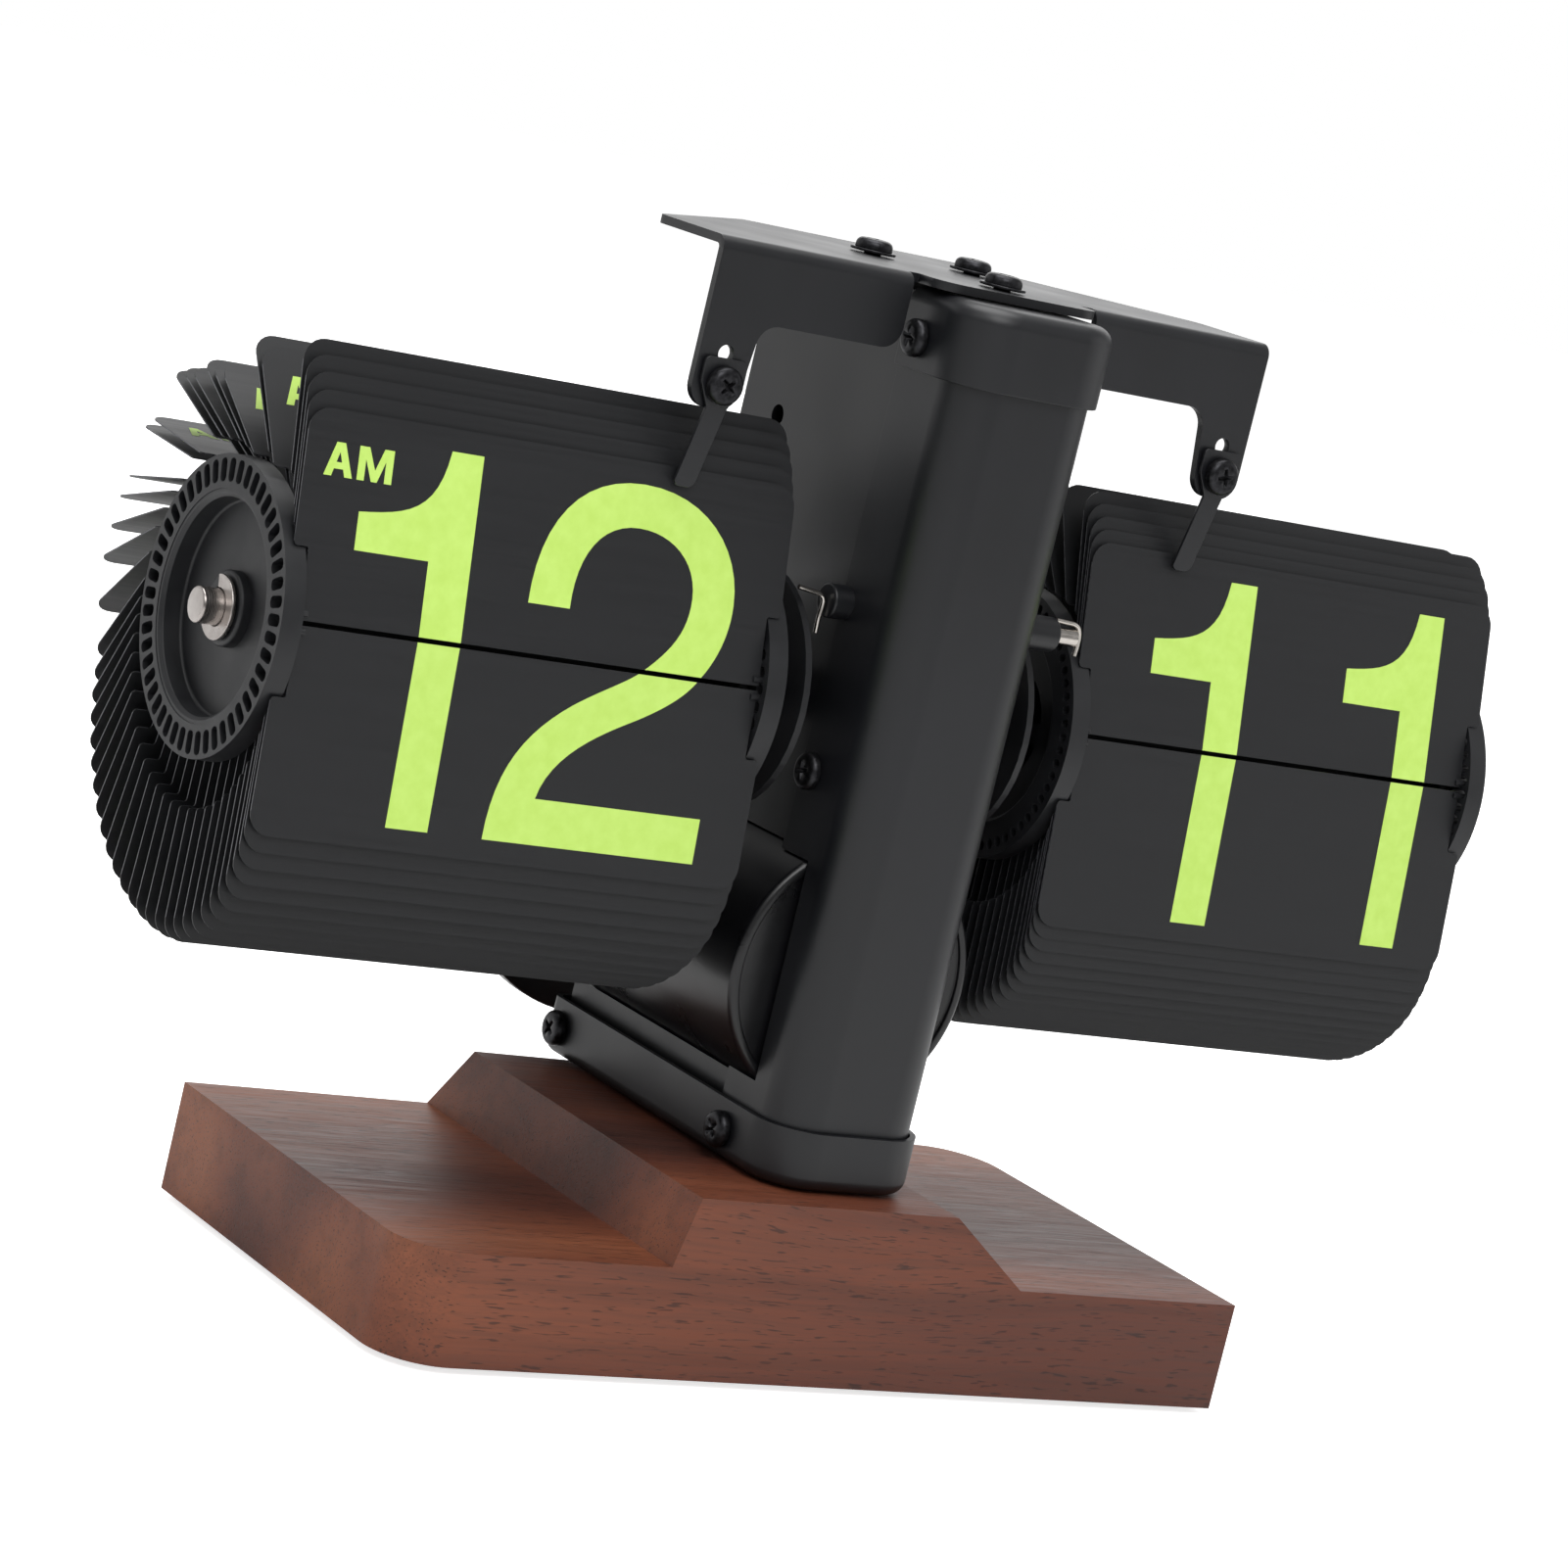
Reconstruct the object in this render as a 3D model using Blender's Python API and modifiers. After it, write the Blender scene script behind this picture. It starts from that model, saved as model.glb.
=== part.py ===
"""Flip clock: a walnut plinth, a sheet metal column and two drums of hinged leaves."""

import math

import bmesh
import bpy
from mathutils import Matrix, Vector

MM = 0.001

# Shared clearances and counts
GAP = 0.3 * MM
OVERRUN = 1.0 * MM
TURN = 2 * math.pi
ARC_STEPS = 5
ROUND_STEPS = 32
SOFT_STEPS = 3
SOFT_SHARE = 0.6

# Wooden plinth
FOOT_HEIGHT = 1.0 * MM
FOOT_RADIUS = 5.0 * MM
FOOT_INSET = 12.0 * MM
BASE_WIDTH = 135.0 * MM
BASE_DEPTH = 71.0 * MM
BASE_HEIGHT = 15.6 * MM
BASE_CORNER_RADIUS = 9.0 * MM
BASE_EDGE_SOFTENING = 0.6 * MM
RIDGE_HEIGHT = 9.8 * MM
RIDGE_LEFT_FOOT = 28.4 * MM
RIDGE_RIGHT_FOOT = 29.2 * MM
RIDGE_LEFT_TOP = 26.2 * MM
RIDGE_RIGHT_TOP = 15.8 * MM
RIDGE_BACK_SLOPE = 6.0 * MM

# Column: a cover with a rounded nose over two side plates
COLUMN_WIDTH = 23.5 * MM
COLUMN_OVER_PAGES = 31.5 * MM
NOSE_RADIUS = 6.5 * MM
NOSE_TO_AXIS = 26.0 * MM
COVER_SHEET = 1.0 * MM
COVER_FLANK_BACK = 9.5 * MM
PLATE_SHEET = 1.0 * MM
PLATE_TOP_BACK = 28.0 * MM
PLATE_FOOT_BACK = 36.0 * MM
PLATE_EDGE_RADIUS = 4.0 * MM
PLATE_HOLE_RADIUS = 1.5 * MM
PLATE_HOLE_BACK = 18.5 * MM
PLATE_HOLE_UP = 35.0 * MM
REAR_SHEET = 1.0 * MM

# Shoe and top cap: pressed sheet around the column's ends
PRESSED_SHEET = 0.8 * MM
SHOE_HEIGHT = 8.3 * MM
SHOE_BACK = 37.5 * MM
SHOE_BACK_RADIUS = 2.0 * MM
PRESSED_SOFTENING = 2.0 * MM
CAP_HEIGHT = 11.0 * MM
CAP_BACK = 10.0 * MM

# Top bracket with its front flanges
BRACKET_SHEET = 1.2 * MM
BRACKET_HALF_WIDTH = 45.6 * MM
BRACKET_FRONT = 14.0 * MM
BRACKET_MIDDLE_BACK = 27.0 * MM
BRACKET_MIDDLE_HALF = 18.0 * MM
BRACKET_END_BACK = 3.4 * MM
LIP_FRONT = 18.2 * MM
LIP_HALF_WIDTH = 13.4 * MM
LIP_CORNER_RADIUS = 3.8 * MM
BRACKET_CORNER_RADIUS = 3.0 * MM
FLANGE_START = 15.3 * MM
WEB_HEIGHT = 10.4 * MM
ARM_WIDTH = 8.6 * MM
ARM_HEIGHT = 22.5 * MM
ARM_RADIUS = 3.0 * MM

# Flap stops: slotted fingers screwed to the bracket's arms
STOP_SHEET = 0.5 * MM
STOP_INSET = 4.1 * MM
STOP_HEAD_WIDTH = 6.6 * MM
STOP_BLADE_WIDTH = 3.0 * MM
STOP_HEAD_TOP = 12.5 * MM
STOP_HEAD_BOTTOM = 22.8 * MM
STOP_TIP_RISE = 0.9 * MM
STOP_BEND = 0.8 * MM
STOP_SLOT_HALF = 1.3 * MM
STOP_SLOT_TOP = 14.0 * MM
STOP_SLOT_BOTTOM = 21.3 * MM
STOP_SCREW_DROP = 19.1 * MM

# Fasteners: pan heads with a cross recess, on a washer where stated
SCREW_SHANK = 1.2 * MM
SCREW_HEAD = 2.6 * MM
SCREW_HEAD_HEIGHT = 1.5 * MM
SCREW_GRIP = 2.2 * MM
SCREW_STEPS = 12
WASHER_RADIUS = 3.2 * MM
WASHER_SHEET = 0.4 * MM
RECESS_ARM = 1.5 * MM
RECESS_WIDTH = 0.6 * MM
RECESS_DEPTH = 0.8 * MM
RECESS_TURN = math.radians(8.0)
TOP_SCREW_FRONT = 12.2 * MM
TOP_SCREW_BACK = 7.8 * MM
TOP_SCREW_SPREAD = 8.4 * MM
CAP_SCREW_FRONT = 14.5 * MM
CAP_SCREW_DROP = 6.8 * MM
FLANK_SCREW_FRONT = 12.4 * MM
FLANK_SCREW_DROP = 8.6 * MM
SHOE_SCREW_FRONT = 13.0 * MM
SHOE_SCREW_BACK = 33.5 * MM
SHOE_SCREW_DROP = 4.2 * MM

# Drums: wheels with a ring of pin holes, a core, and the fixed axle
HINGE_RADIUS = 18.0 * MM
WHEEL_RADIUS = 19.7 * MM
WHEEL_THICKNESS = 3.0 * MM
WHEEL_RIM_INNER = 14.2 * MM
WHEEL_WEB = 0.8 * MM
PIN_HOLE = 0.8 * MM
HUB_RADIUS = 5.0 * MM
HUB_PROUD = 0.2 * MM
CORE_RADIUS = 8.0 * MM
AXLE_RADIUS = 2.4 * MM
AXLE_RUNNING_GAP = 0.1 * MM
AXLE_PROUD = 1.9 * MM
CLIP_RADIUS = 4.3 * MM
CLIP_SHEET = 0.6 * MM
FLANGE_DISC_RADIUS = 17.0 * MM
FLANGE_DISC_SHEET = 1.0 * MM
FLANGE_DISC_INSET = 5.2 * MM

# Leaves
LEAF_INNER = 25.0 * MM
LEAF_WIDTH = 73.4 * MM
LEAF_REACH = 26.0 * MM
LEAF_SHEET = 0.2 * MM
LEAF_AIR = 0.12 * MM
LEAF_CORNER = 3.0 * MM
LEAF_NOTCH = 2.1 * MM
LEAF_NOTCH_REACH = 9.4 * MM
LEAF_SLIT = 0.65 * MM
PAGE_RISE = math.radians(8.0)
PAGE_SKIP = 2
HOUR_LEAVES = 48
MINUTE_LEAVES = 60
BAND_DEPTH = 0.9 * MM

# How far a leaf leans back from upright, against the turn of the drum from the upper page
LEAN_BY_TURN_DEG = (
    (0.0, 11.3),
    (12.0, 12.5),
    (24.0, 15.0),
    (38.0, 40.0),
    (55.0, 66.0),
    (74.0, 77.0),
    (94.0, 94.5),
    (105.0, 107.0),
    (113.0, 111.0),
    (129.0, 121.0),
    (151.0, 142.0),
    (237.0, 174.0),
    (267.0, 181.0),
    (320.0, 184.5),
    (360.0, 185.6),
)

# Gear train inside the column, on parallel axes
GEAR_DEPTH = 0.45 * MM
GEAR_SHEET = 1.6 * MM
GEAR_DISTANCE = 19.5 * MM
MOTOR_DISTANCE = 13.0 * MM
HOUR_GEAR_TEETH = 60
HOUR_PINION_TEETH = 10
MINUTE_PINION_TEETH = 10
IDLER_TEETH = 40
MOTOR_GEAR_TEETH = 40
MOTOR_PINION_TEETH = 10
GEAR_PLAY = 0.25 * MM
SLEEVE_WALL = 0.9 * MM
ARBOR_RADIUS = 1.0 * MM
HOUR_GEAR_INSET = 1.2 * MM
MINUTE_PINION_INSET = 5.4 * MM
MOTOR_GEAR_INSET = 8.4 * MM
MOTOR_RADIUS = 8.3 * MM
MOTOR_LENGTH = 7.4 * MM
MOTOR_SHAFT_RADIUS = 0.7 * MM

# Battery housing, a round can that runs front to back through the column's foot
CAN_WALL = 1.4 * MM
CAN_FRONT = 16.2 * MM
CAN_UNDER_GEAR = 3.0 * MM
CAN_SOFTENING = 1.6 * MM
CAN_CLEARANCE = 0.5 * MM
CELL_RADIUS = 16.6 * MM
CELL_LENGTH = 59.5 * MM
CELL_NIPPLE_RADIUS = 4.5 * MM
CELL_NIPPLE_HEIGHT = 1.6 * MM
CELL_SIDE_PLAY = 1.2 * MM
CELL_END_PLAY = 0.15 * MM
CONTACT_RADIUS = 7.0 * MM
CONTACT_SHEET = 0.5 * MM
CLOSURE_OVERHANG = 6.0 * MM
CLOSURE_THICKNESS = 4.0 * MM
CLOSURE_SOFTENING = 1.2 * MM
CLOSURE_GRIP_LENGTH = 24.0 * MM
CLOSURE_GRIP_WIDTH = 5.0 * MM
CLOSURE_GRIP_HEIGHT = 1.6 * MM

# Detent springs beside the column
POST_RADIUS = 2.0 * MM
POST_LENGTH = 4.4 * MM
POST_UP = 13.5 * MM
POST_FRONT = 5.0 * MM
WIRE_RADIUS = 0.35 * MM
WIRE_REACH = 2.2 * MM
WIRE_DROP = 3.4 * MM

# Places worked out from the sizes above
PLINTH_TO_AXIS = 32.2 * MM
CONTACT_HEIGHT = CONTACT_RADIUS / 4
CAN_RADIUS = CELL_RADIUS + CELL_SIDE_PLAY + CAN_WALL
CAN_LENGTH = CAN_WALL + GAP * 2 + CONTACT_HEIGHT + CELL_LENGTH + CELL_NIPPLE_HEIGHT + CELL_END_PLAY
CLOSURE_RADIUS = CAN_RADIUS + CLOSURE_OVERHANG
DEPTH = PLINTH_TO_AXIS + CAN_LENGTH - CAN_FRONT + GAP + CLOSURE_THICKNESS + CLOSURE_GRIP_HEIGHT
AXIS_Y = PLINTH_TO_AXIS - DEPTH / 2
BASE_FRONT_Y = -DEPTH / 2
BASE_BACK_Y = BASE_FRONT_Y + BASE_DEPTH
BASE_TOP_Z = FOOT_HEIGHT + BASE_HEIGHT
RIDGE_TOP_Z = BASE_TOP_Z + RIDGE_HEIGHT
SHOE_FLOOR_Z = RIDGE_TOP_Z + GAP + PRESSED_SHEET
COLUMN_BOTTOM_Z = SHOE_FLOOR_Z + GAP
SHOE_TOP_Z = RIDGE_TOP_Z + GAP + SHOE_HEIGHT
CAN_Z = SHOE_TOP_Z + GAP + CAN_RADIUS
AXIS_Z = CAN_Z + CAN_RADIUS + GEAR_DISTANCE - CAN_UNDER_GEAR
COLUMN_TOP_Z = AXIS_Z + LEAF_REACH + COLUMN_OVER_PAGES
COLUMN_HEIGHT = COLUMN_TOP_Z - COLUMN_BOTTOM_Z
CAP_TOP_Z = COLUMN_TOP_Z + GAP + PRESSED_SHEET
BRACKET_TOP_Z = CAP_TOP_Z + GAP + BRACKET_SHEET
COVER_HALF = COLUMN_WIDTH / 2
PLATE_OUTER = COVER_HALF - COVER_SHEET - GAP
PLATE_INNER = PLATE_OUTER - PLATE_SHEET
PRESSED_HALF = COVER_HALF + GAP + PRESSED_SHEET
STOP_CENTRE = BRACKET_HALF_WIDTH - STOP_INSET
STOP_TIP_Z = AXIS_Z + LEAF_REACH + STOP_TIP_RISE
LEAF_OUTER = LEAF_INNER + LEAF_WIDTH
INNER_WHEEL_X = LEAF_INNER + LEAF_NOTCH - GAP
OUTER_WHEEL_X = LEAF_OUTER - LEAF_NOTCH + GAP
CORE_START_X = INNER_WHEEL_X
CORE_END_X = OUTER_WHEEL_X
AXLE_BORE = AXLE_RADIUS + AXLE_RUNNING_GAP
FUSED_BORE = AXLE_BORE + SLEEVE_WALL / 2
ARBOR_BORE = ARBOR_RADIUS + AXLE_RUNNING_GAP
HUB_END_X = OUTER_WHEEL_X + WHEEL_THICKNESS - WHEEL_WEB + HUB_PROUD
CLIP_X = HUB_END_X + GAP

SIDES = {"left": -1, "right": 1}
LEFT, RIGHT = SIDES["left"], SIDES["right"]


# Scene and materials
def clear_scene():
    for found in list(bpy.data.objects):
        bpy.data.objects.remove(found)


def collection(name):
    made = bpy.data.collections.new(name)
    bpy.context.scene.collection.children.link(made)
    return made


def material(name, colour, roughness, metallic=0.0):
    made = bpy.data.materials.new(name)
    made.use_nodes = True
    shader = made.node_tree.nodes["Principled BSDF"]
    shader.inputs["Base Color"].default_value = (*colour, 1.0)
    shader.inputs["Roughness"].default_value = roughness
    shader.inputs["Metallic"].default_value = metallic
    made.diffuse_color = (*colour, 1.0)
    return made


clear_scene()
PARTS = collection("flip_clock")
CUTTERS = collection("cutters")

WALNUT = material("walnut", (0.16, 0.06, 0.035), 0.5)
BLACK_PAINT = material("black_painted_steel", (0.03, 0.031, 0.035), 0.5, 0.3)
BLACK_SCREW = material("black_steel_screw", (0.02, 0.02, 0.022), 0.35, 0.8)
BLACK_PLASTIC = material("black_moulded_plastic", (0.025, 0.027, 0.03), 0.4)
GLOSS_PLASTIC = material("black_gloss_plastic", (0.012, 0.012, 0.014), 0.15)
LEAF_PLASTIC = material("black_leaf_plastic", (0.03, 0.032, 0.036), 0.55)
STEEL = material("bright_steel", (0.6, 0.58, 0.55), 0.25, 1.0)
BRASS = material("brass", (0.6, 0.42, 0.16), 0.3, 1.0)
RUBBER = material("grey_rubber", (0.5, 0.48, 0.45), 0.8)
CELL_SLEEVE = material("cell_sleeve", (0.07, 0.075, 0.085), 0.35)


# Outlines in a plane, as lists of points
def rounded(corners):
    """Points of a closed outline whose corners (x, y, radius) are rounded."""
    points = []
    for index, (x, y, radius) in enumerate(corners):
        if radius == 0:
            points.append((x, y))
            continue
        before = corners[index - 1]
        after = corners[(index + 1) % len(corners)]
        a = math.atan2(before[1] - y, before[0] - x)
        b = math.atan2(after[1] - y, after[0] - x)
        half = ((b - a + math.pi) % TURN - math.pi) / 2
        reach = radius / abs(math.sin(half))
        middle = a + half
        centre = (x + reach * math.cos(middle), y + reach * math.sin(middle))
        sweep = math.copysign(math.pi / 2, half) - half
        for step in range(ARC_STEPS):
            share = 1 - 2 * step / (ARC_STEPS - 1)
            angle = middle + math.pi + share * sweep
            points.append((centre[0] + radius * math.cos(angle), centre[1] + radius * math.sin(angle)))
    return points


def circle(radius, steps=ROUND_STEPS, centre=(0, 0), phase=0.0):
    return [
        (
            centre[0] + radius * math.cos(phase + TURN * step / steps),
            centre[1] + radius * math.sin(phase + TURN * step / steps),
        )
        for step in range(steps)
    ]


def slot(half_width, low, high, centre_x):
    """A slot's outline that runs along y, with round ends."""
    ends = []
    for end, start in ((low, math.pi), (high, 0.0)):
        for step in range(ARC_STEPS + 1):
            angle = start + math.pi * step / ARC_STEPS
            ends.append((centre_x + half_width * math.cos(angle), end + half_width * math.sin(angle)))
    return ends


# Planes: local x and y of an outline, and the direction it is thickened in
FLAT = Matrix.Identity(3)
FACING_Y = Matrix(((1, 0, 0), (0, 0, -1), (0, 1, 0)))
FACING_X = Matrix(((0, 0, 1), (1, 0, 0), (0, 1, 0)))
QUARTER_TURN = math.pi / 2
AXIS_TURNS = {
    "x": (0, QUARTER_TURN, 0),
    "-x": (0, -QUARTER_TURN, 0),
    "y": (-QUARTER_TURN, 0, 0),
    "-y": (QUARTER_TURN, 0, 0),
    "z": (0, 0, 0),
}


def add(name, mesh, finish, origin=(0, 0, 0), parts=True):
    made = bpy.data.objects.new(name, mesh)
    made.location = origin
    if parts:
        PARTS.objects.link(made)
        mesh.materials.clear()
        mesh.materials.append(finish)
        mesh.shade_smooth()
        mesh.set_sharp_from_angle(angle=math.radians(35))
    else:
        CUTTERS.objects.link(made)
        made.hide_render = True
        made.display_type = "WIRE"
    return made


def sheet_mesh(name, outlines, thickness, plane, start):
    """A flat shape with holes, thickened from start along the plane's normal."""
    drawn = bpy.data.curves.new(name, "CURVE")
    drawn.dimensions = "2D"
    drawn.fill_mode = "BOTH"
    drawn.extrude = thickness / 2
    for outline in outlines:
        spline = drawn.splines.new("POLY")
        spline.points.add(len(outline) - 1)
        for point, (x, y) in zip(spline.points, outline):
            point.co = (x, y, 0, 1)
        spline.use_cyclic_u = True
    guide = bpy.data.objects.new(name, drawn)
    CUTTERS.objects.link(guide)
    bpy.context.view_layer.update()
    evaluated = guide.evaluated_get(bpy.context.evaluated_depsgraph_get())
    mesh = bpy.data.meshes.new_from_object(evaluated)
    bpy.data.objects.remove(guide)
    mesh.transform(Matrix.Translation((0, 0, start + thickness / 2)))
    mesh.transform(plane.to_4x4())
    work = bmesh.new()
    work.from_mesh(mesh)
    bmesh.ops.remove_doubles(work, verts=work.verts, dist=MM / 10000)
    bmesh.ops.dissolve_limit(work, angle_limit=math.radians(0.1), verts=work.verts, edges=work.edges)
    bmesh.ops.recalc_face_normals(work, faces=work.faces)
    work.to_mesh(mesh)
    work.free()
    return mesh


def sheet(name, outlines, thickness, plane, start, finish, origin=(0, 0, 0), parts=True):
    return add(name, sheet_mesh(name, outlines, thickness, plane, start), finish, origin, parts)


def turned(name, profile, axis, finish, origin=(0, 0, 0), steps=ROUND_STEPS, parts=True):
    """A turned solid: profile points (radius, height) run from top to bottom."""
    mesh = bpy.data.meshes.new(name)
    points = [(radius, 0, height) for radius, height in profile]
    closed = profile[0][0] > 0
    edges = [(index, index + 1) for index in range(len(points) - 1)]
    if closed:
        edges.append((len(points) - 1, 0))
    mesh.from_pydata(points, edges, [])
    made = add(name, mesh, finish, origin, parts)
    turning = made.modifiers.new("turning", "SCREW")
    turning.axis = "Z"
    turning.steps = steps
    turning.render_steps = steps
    turning.use_merge_vertices = True
    turning.merge_threshold = MM / 10000
    turning.use_smooth_shade = True
    made.rotation_euler = AXIS_TURNS[axis]
    return made


def box_mesh(name, low, high):
    mesh = bpy.data.meshes.new(name)
    work = bmesh.new()
    bmesh.ops.create_cube(work, size=1)
    size = [b - a for a, b in zip(low, high)]
    middle = [(a + b) / 2 for a, b in zip(low, high)]
    bmesh.ops.transform(work, matrix=Matrix.Translation(middle) @ Matrix.Diagonal((*size, 1)), verts=work.verts)
    work.to_mesh(mesh)
    work.free()
    return mesh


def box(name, low, high, finish, origin=(0, 0, 0), parts=True):
    return add(name, box_mesh(name, low, high), finish, origin, parts)


def combine(target, other, operation):
    """Cut or join by a shape that is kept as a cutter."""
    if other.name not in CUTTERS.objects:
        for owner in list(other.users_collection):
            owner.objects.unlink(other)
        CUTTERS.objects.link(other)
        other.hide_render = True
        other.display_type = "WIRE"
    modifier = target.modifiers.new(other.name, "BOOLEAN")
    modifier.operation = operation
    modifier.solver = "EXACT"
    modifier.object = other
    return target


def soften(target, width, limit_deg=40, segments=2):
    bevel = target.modifiers.new("softened edges", "BEVEL")
    bevel.width = width
    bevel.segments = segments
    bevel.limit_method = "ANGLE"
    bevel.angle_limit = math.radians(limit_deg)
    return target


def hang(child, parent):
    """Parent a piece to its axis without moving it."""
    bpy.context.view_layer.update()
    child.parent = parent
    child.matrix_parent_inverse = parent.matrix_world.inverted()
    return child


def axis_empty(name, place):
    made = bpy.data.objects.new(name, None)
    made.location = place
    made.empty_display_size = HUB_RADIUS
    PARTS.objects.link(made)
    return made


# Wooden plinth and its feet
def loft(name, rings, finish):
    """A solid through rings of as many points each, given as (x, y, z), from low to high."""
    mesh = bpy.data.meshes.new(name)
    work = bmesh.new()
    levels = [[work.verts.new(point) for point in ring] for ring in rings]
    work.faces.new(list(reversed(levels[0])))
    work.faces.new(levels[-1])
    for low, high in zip(levels, levels[1:]):
        for index in range(len(low)):
            after = (index + 1) % len(low)
            work.faces.new((low[index], low[after], high[after], high[index]))
    bmesh.ops.recalc_face_normals(work, faces=work.faces)
    work.to_mesh(mesh)
    work.free()
    return add(name, mesh, finish)


def wood_base():
    left, right = -BASE_WIDTH / 2, BASE_WIDTH / 2
    outline = rounded(
        [
            (left, BASE_FRONT_Y, BASE_CORNER_RADIUS),
            (right, BASE_FRONT_Y, 0),
            (right, BASE_BACK_Y, BASE_CORNER_RADIUS),
            (left, BASE_BACK_Y, 0),
        ]
    )
    slab = sheet("wood_base", [outline], BASE_HEIGHT, FLAT, FOOT_HEIGHT, WALNUT)
    sunk_z = BASE_TOP_Z - OVERRUN
    back_top = BASE_BACK_Y - RIDGE_BACK_SLOPE
    slope = RIDGE_HEIGHT / (RIDGE_HEIGHT + OVERRUN)
    plan = (
        (-RIDGE_LEFT_TOP, -RIDGE_LEFT_FOOT, BASE_FRONT_Y, BASE_FRONT_Y),
        (RIDGE_RIGHT_TOP, RIDGE_RIGHT_FOOT, BASE_FRONT_Y, BASE_FRONT_Y),
        (RIDGE_RIGHT_TOP, RIDGE_RIGHT_FOOT, back_top, BASE_BACK_Y),
        (-RIDGE_LEFT_TOP, -RIDGE_LEFT_FOOT, back_top, BASE_BACK_Y),
    )
    low = [(top + (foot - top) / slope, y + (end - y) / slope, sunk_z) for top, foot, y, end in plan]
    high = [(top, y, RIDGE_TOP_Z) for top, foot, y, end in plan]
    ridge = loft("ridge", [low, high], WALNUT)
    past_back = box(
        "past_back",
        (left, BASE_BACK_Y, sunk_z - OVERRUN),
        (right, BASE_BACK_Y + OVERRUN * 2, RIDGE_TOP_Z),
        WALNUT,
        parts=False,
    )
    combine(ridge, past_back, "DIFFERENCE")
    combine(slab, ridge, "UNION")
    return soften(slab, BASE_EDGE_SOFTENING, segments=1)


def foot_pads():
    for row, y in (("front", BASE_FRONT_Y + FOOT_INSET), ("rear", BASE_BACK_Y - FOOT_INSET)):
        for side, sign in SIDES.items():
            x = sign * (BASE_WIDTH / 2 - FOOT_INSET)
            pad = [(0, FOOT_HEIGHT - GAP), (FOOT_RADIUS, FOOT_HEIGHT - GAP), (FOOT_RADIUS, 0), (0, 0)]
            turned(f"foot_{row}_{side}", pad, "z", RUBBER, (x, y, 0), 20)


# Column
def column_outline(half, front, back, radius, back_radius=0.0):
    """Plan of the column or of what wraps it: rounded at the front."""
    return rounded(
        [
            (half, AXIS_Y + back, back_radius),
            (-half, AXIS_Y + back, back_radius),
            (-half, AXIS_Y - front, radius),
            (half, AXIS_Y - front, radius),
        ]
    )


def can_window(name, radius, back):
    """The round space of the battery housing, cut from what stands around it."""
    front = AXIS_Y - CAN_FRONT - CAN_CLEARANCE
    return turned(
        name,
        [(0, back - front), (radius, back - front), (radius, 0), (0, 0)],
        "y",
        None,
        (0, front, CAN_Z),
        40,
        parts=False,
    )


def column_cover():
    outer = column_outline(COVER_HALF, NOSE_TO_AXIS, -COVER_FLANK_BACK, NOSE_RADIUS)
    cover = sheet("column_cover", [outer], COLUMN_HEIGHT, FLAT, COLUMN_BOTTOM_Z, BLACK_PAINT)
    inside = column_outline(
        COVER_HALF - COVER_SHEET,
        NOSE_TO_AXIS - COVER_SHEET,
        -COVER_FLANK_BACK + OVERRUN,
        NOSE_RADIUS - COVER_SHEET,
    )
    hollow = sheet(
        "cover_hollow",
        [inside],
        COLUMN_HEIGHT + OVERRUN * 2,
        FLAT,
        COLUMN_BOTTOM_Z - OVERRUN,
        None,
        parts=False,
    )
    combine(cover, hollow, "DIFFERENCE")
    combine(cover, can_window("cover_can_window", CAN_RADIUS + CAN_CLEARANCE, AXIS_Y), "DIFFERENCE")
    return cover


def side_plate(side, sign):
    """A sheet side of the column: a front strip, a foot rail and the upper plate."""
    front = AXIS_Y - NOSE_TO_AXIS + NOSE_RADIUS
    top_back = AXIS_Y + PLATE_TOP_BACK
    foot_back = AXIS_Y + PLATE_FOOT_BACK
    outline = rounded(
        [
            (front, COLUMN_BOTTOM_Z, 0),
            (foot_back, COLUMN_BOTTOM_Z, 0),
            (foot_back, CAN_Z, 0),
            (top_back, CAN_Z + CAN_RADIUS, 0),
            (top_back, COLUMN_TOP_Z, PLATE_EDGE_RADIUS),
            (front, COLUMN_TOP_Z, 0),
        ]
    )
    holes = [
        circle(PLATE_HOLE_RADIUS, 12, (AXIS_Y + PLATE_HOLE_BACK, AXIS_Z + PLATE_HOLE_UP)),
        circle(AXLE_BORE + SLEEVE_WALL + GAP, 20, (AXIS_Y, AXIS_Z)),
    ]
    start = PLATE_INNER if sign > 0 else -PLATE_OUTER
    plate = sheet(f"side_plate_{side}", [outline, *holes], PLATE_SHEET, FACING_X, start, BLACK_PAINT)
    window = can_window(f"plate_can_window_{side}", CAN_RADIUS + CAN_CLEARANCE, foot_back + OVERRUN)
    combine(plate, window, "DIFFERENCE")
    post = turned(
        f"spring_post_{side}",
        [(0, POST_LENGTH), (POST_RADIUS, POST_LENGTH), (POST_RADIUS, -PLATE_SHEET / 2), (0, -PLATE_SHEET / 2)],
        "x" if sign > 0 else "-x",
        BLACK_PAINT,
        (sign * PLATE_OUTER, AXIS_Y - POST_FRONT, AXIS_Z + POST_UP),
        20,
        parts=False,
    )
    combine(plate, post, "UNION")
    return plate


def rear_cover():
    low = CAN_Z + CAN_RADIUS + CAN_CLEARANCE
    half = PLATE_INNER - GAP
    outline = [(-half, low), (half, low), (half, COLUMN_TOP_Z), (-half, COLUMN_TOP_Z)]
    start = -(AXIS_Y + PLATE_TOP_BACK)
    return sheet("rear_cover", [outline], REAR_SHEET, FACING_Y, start, BLACK_PAINT)


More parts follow.
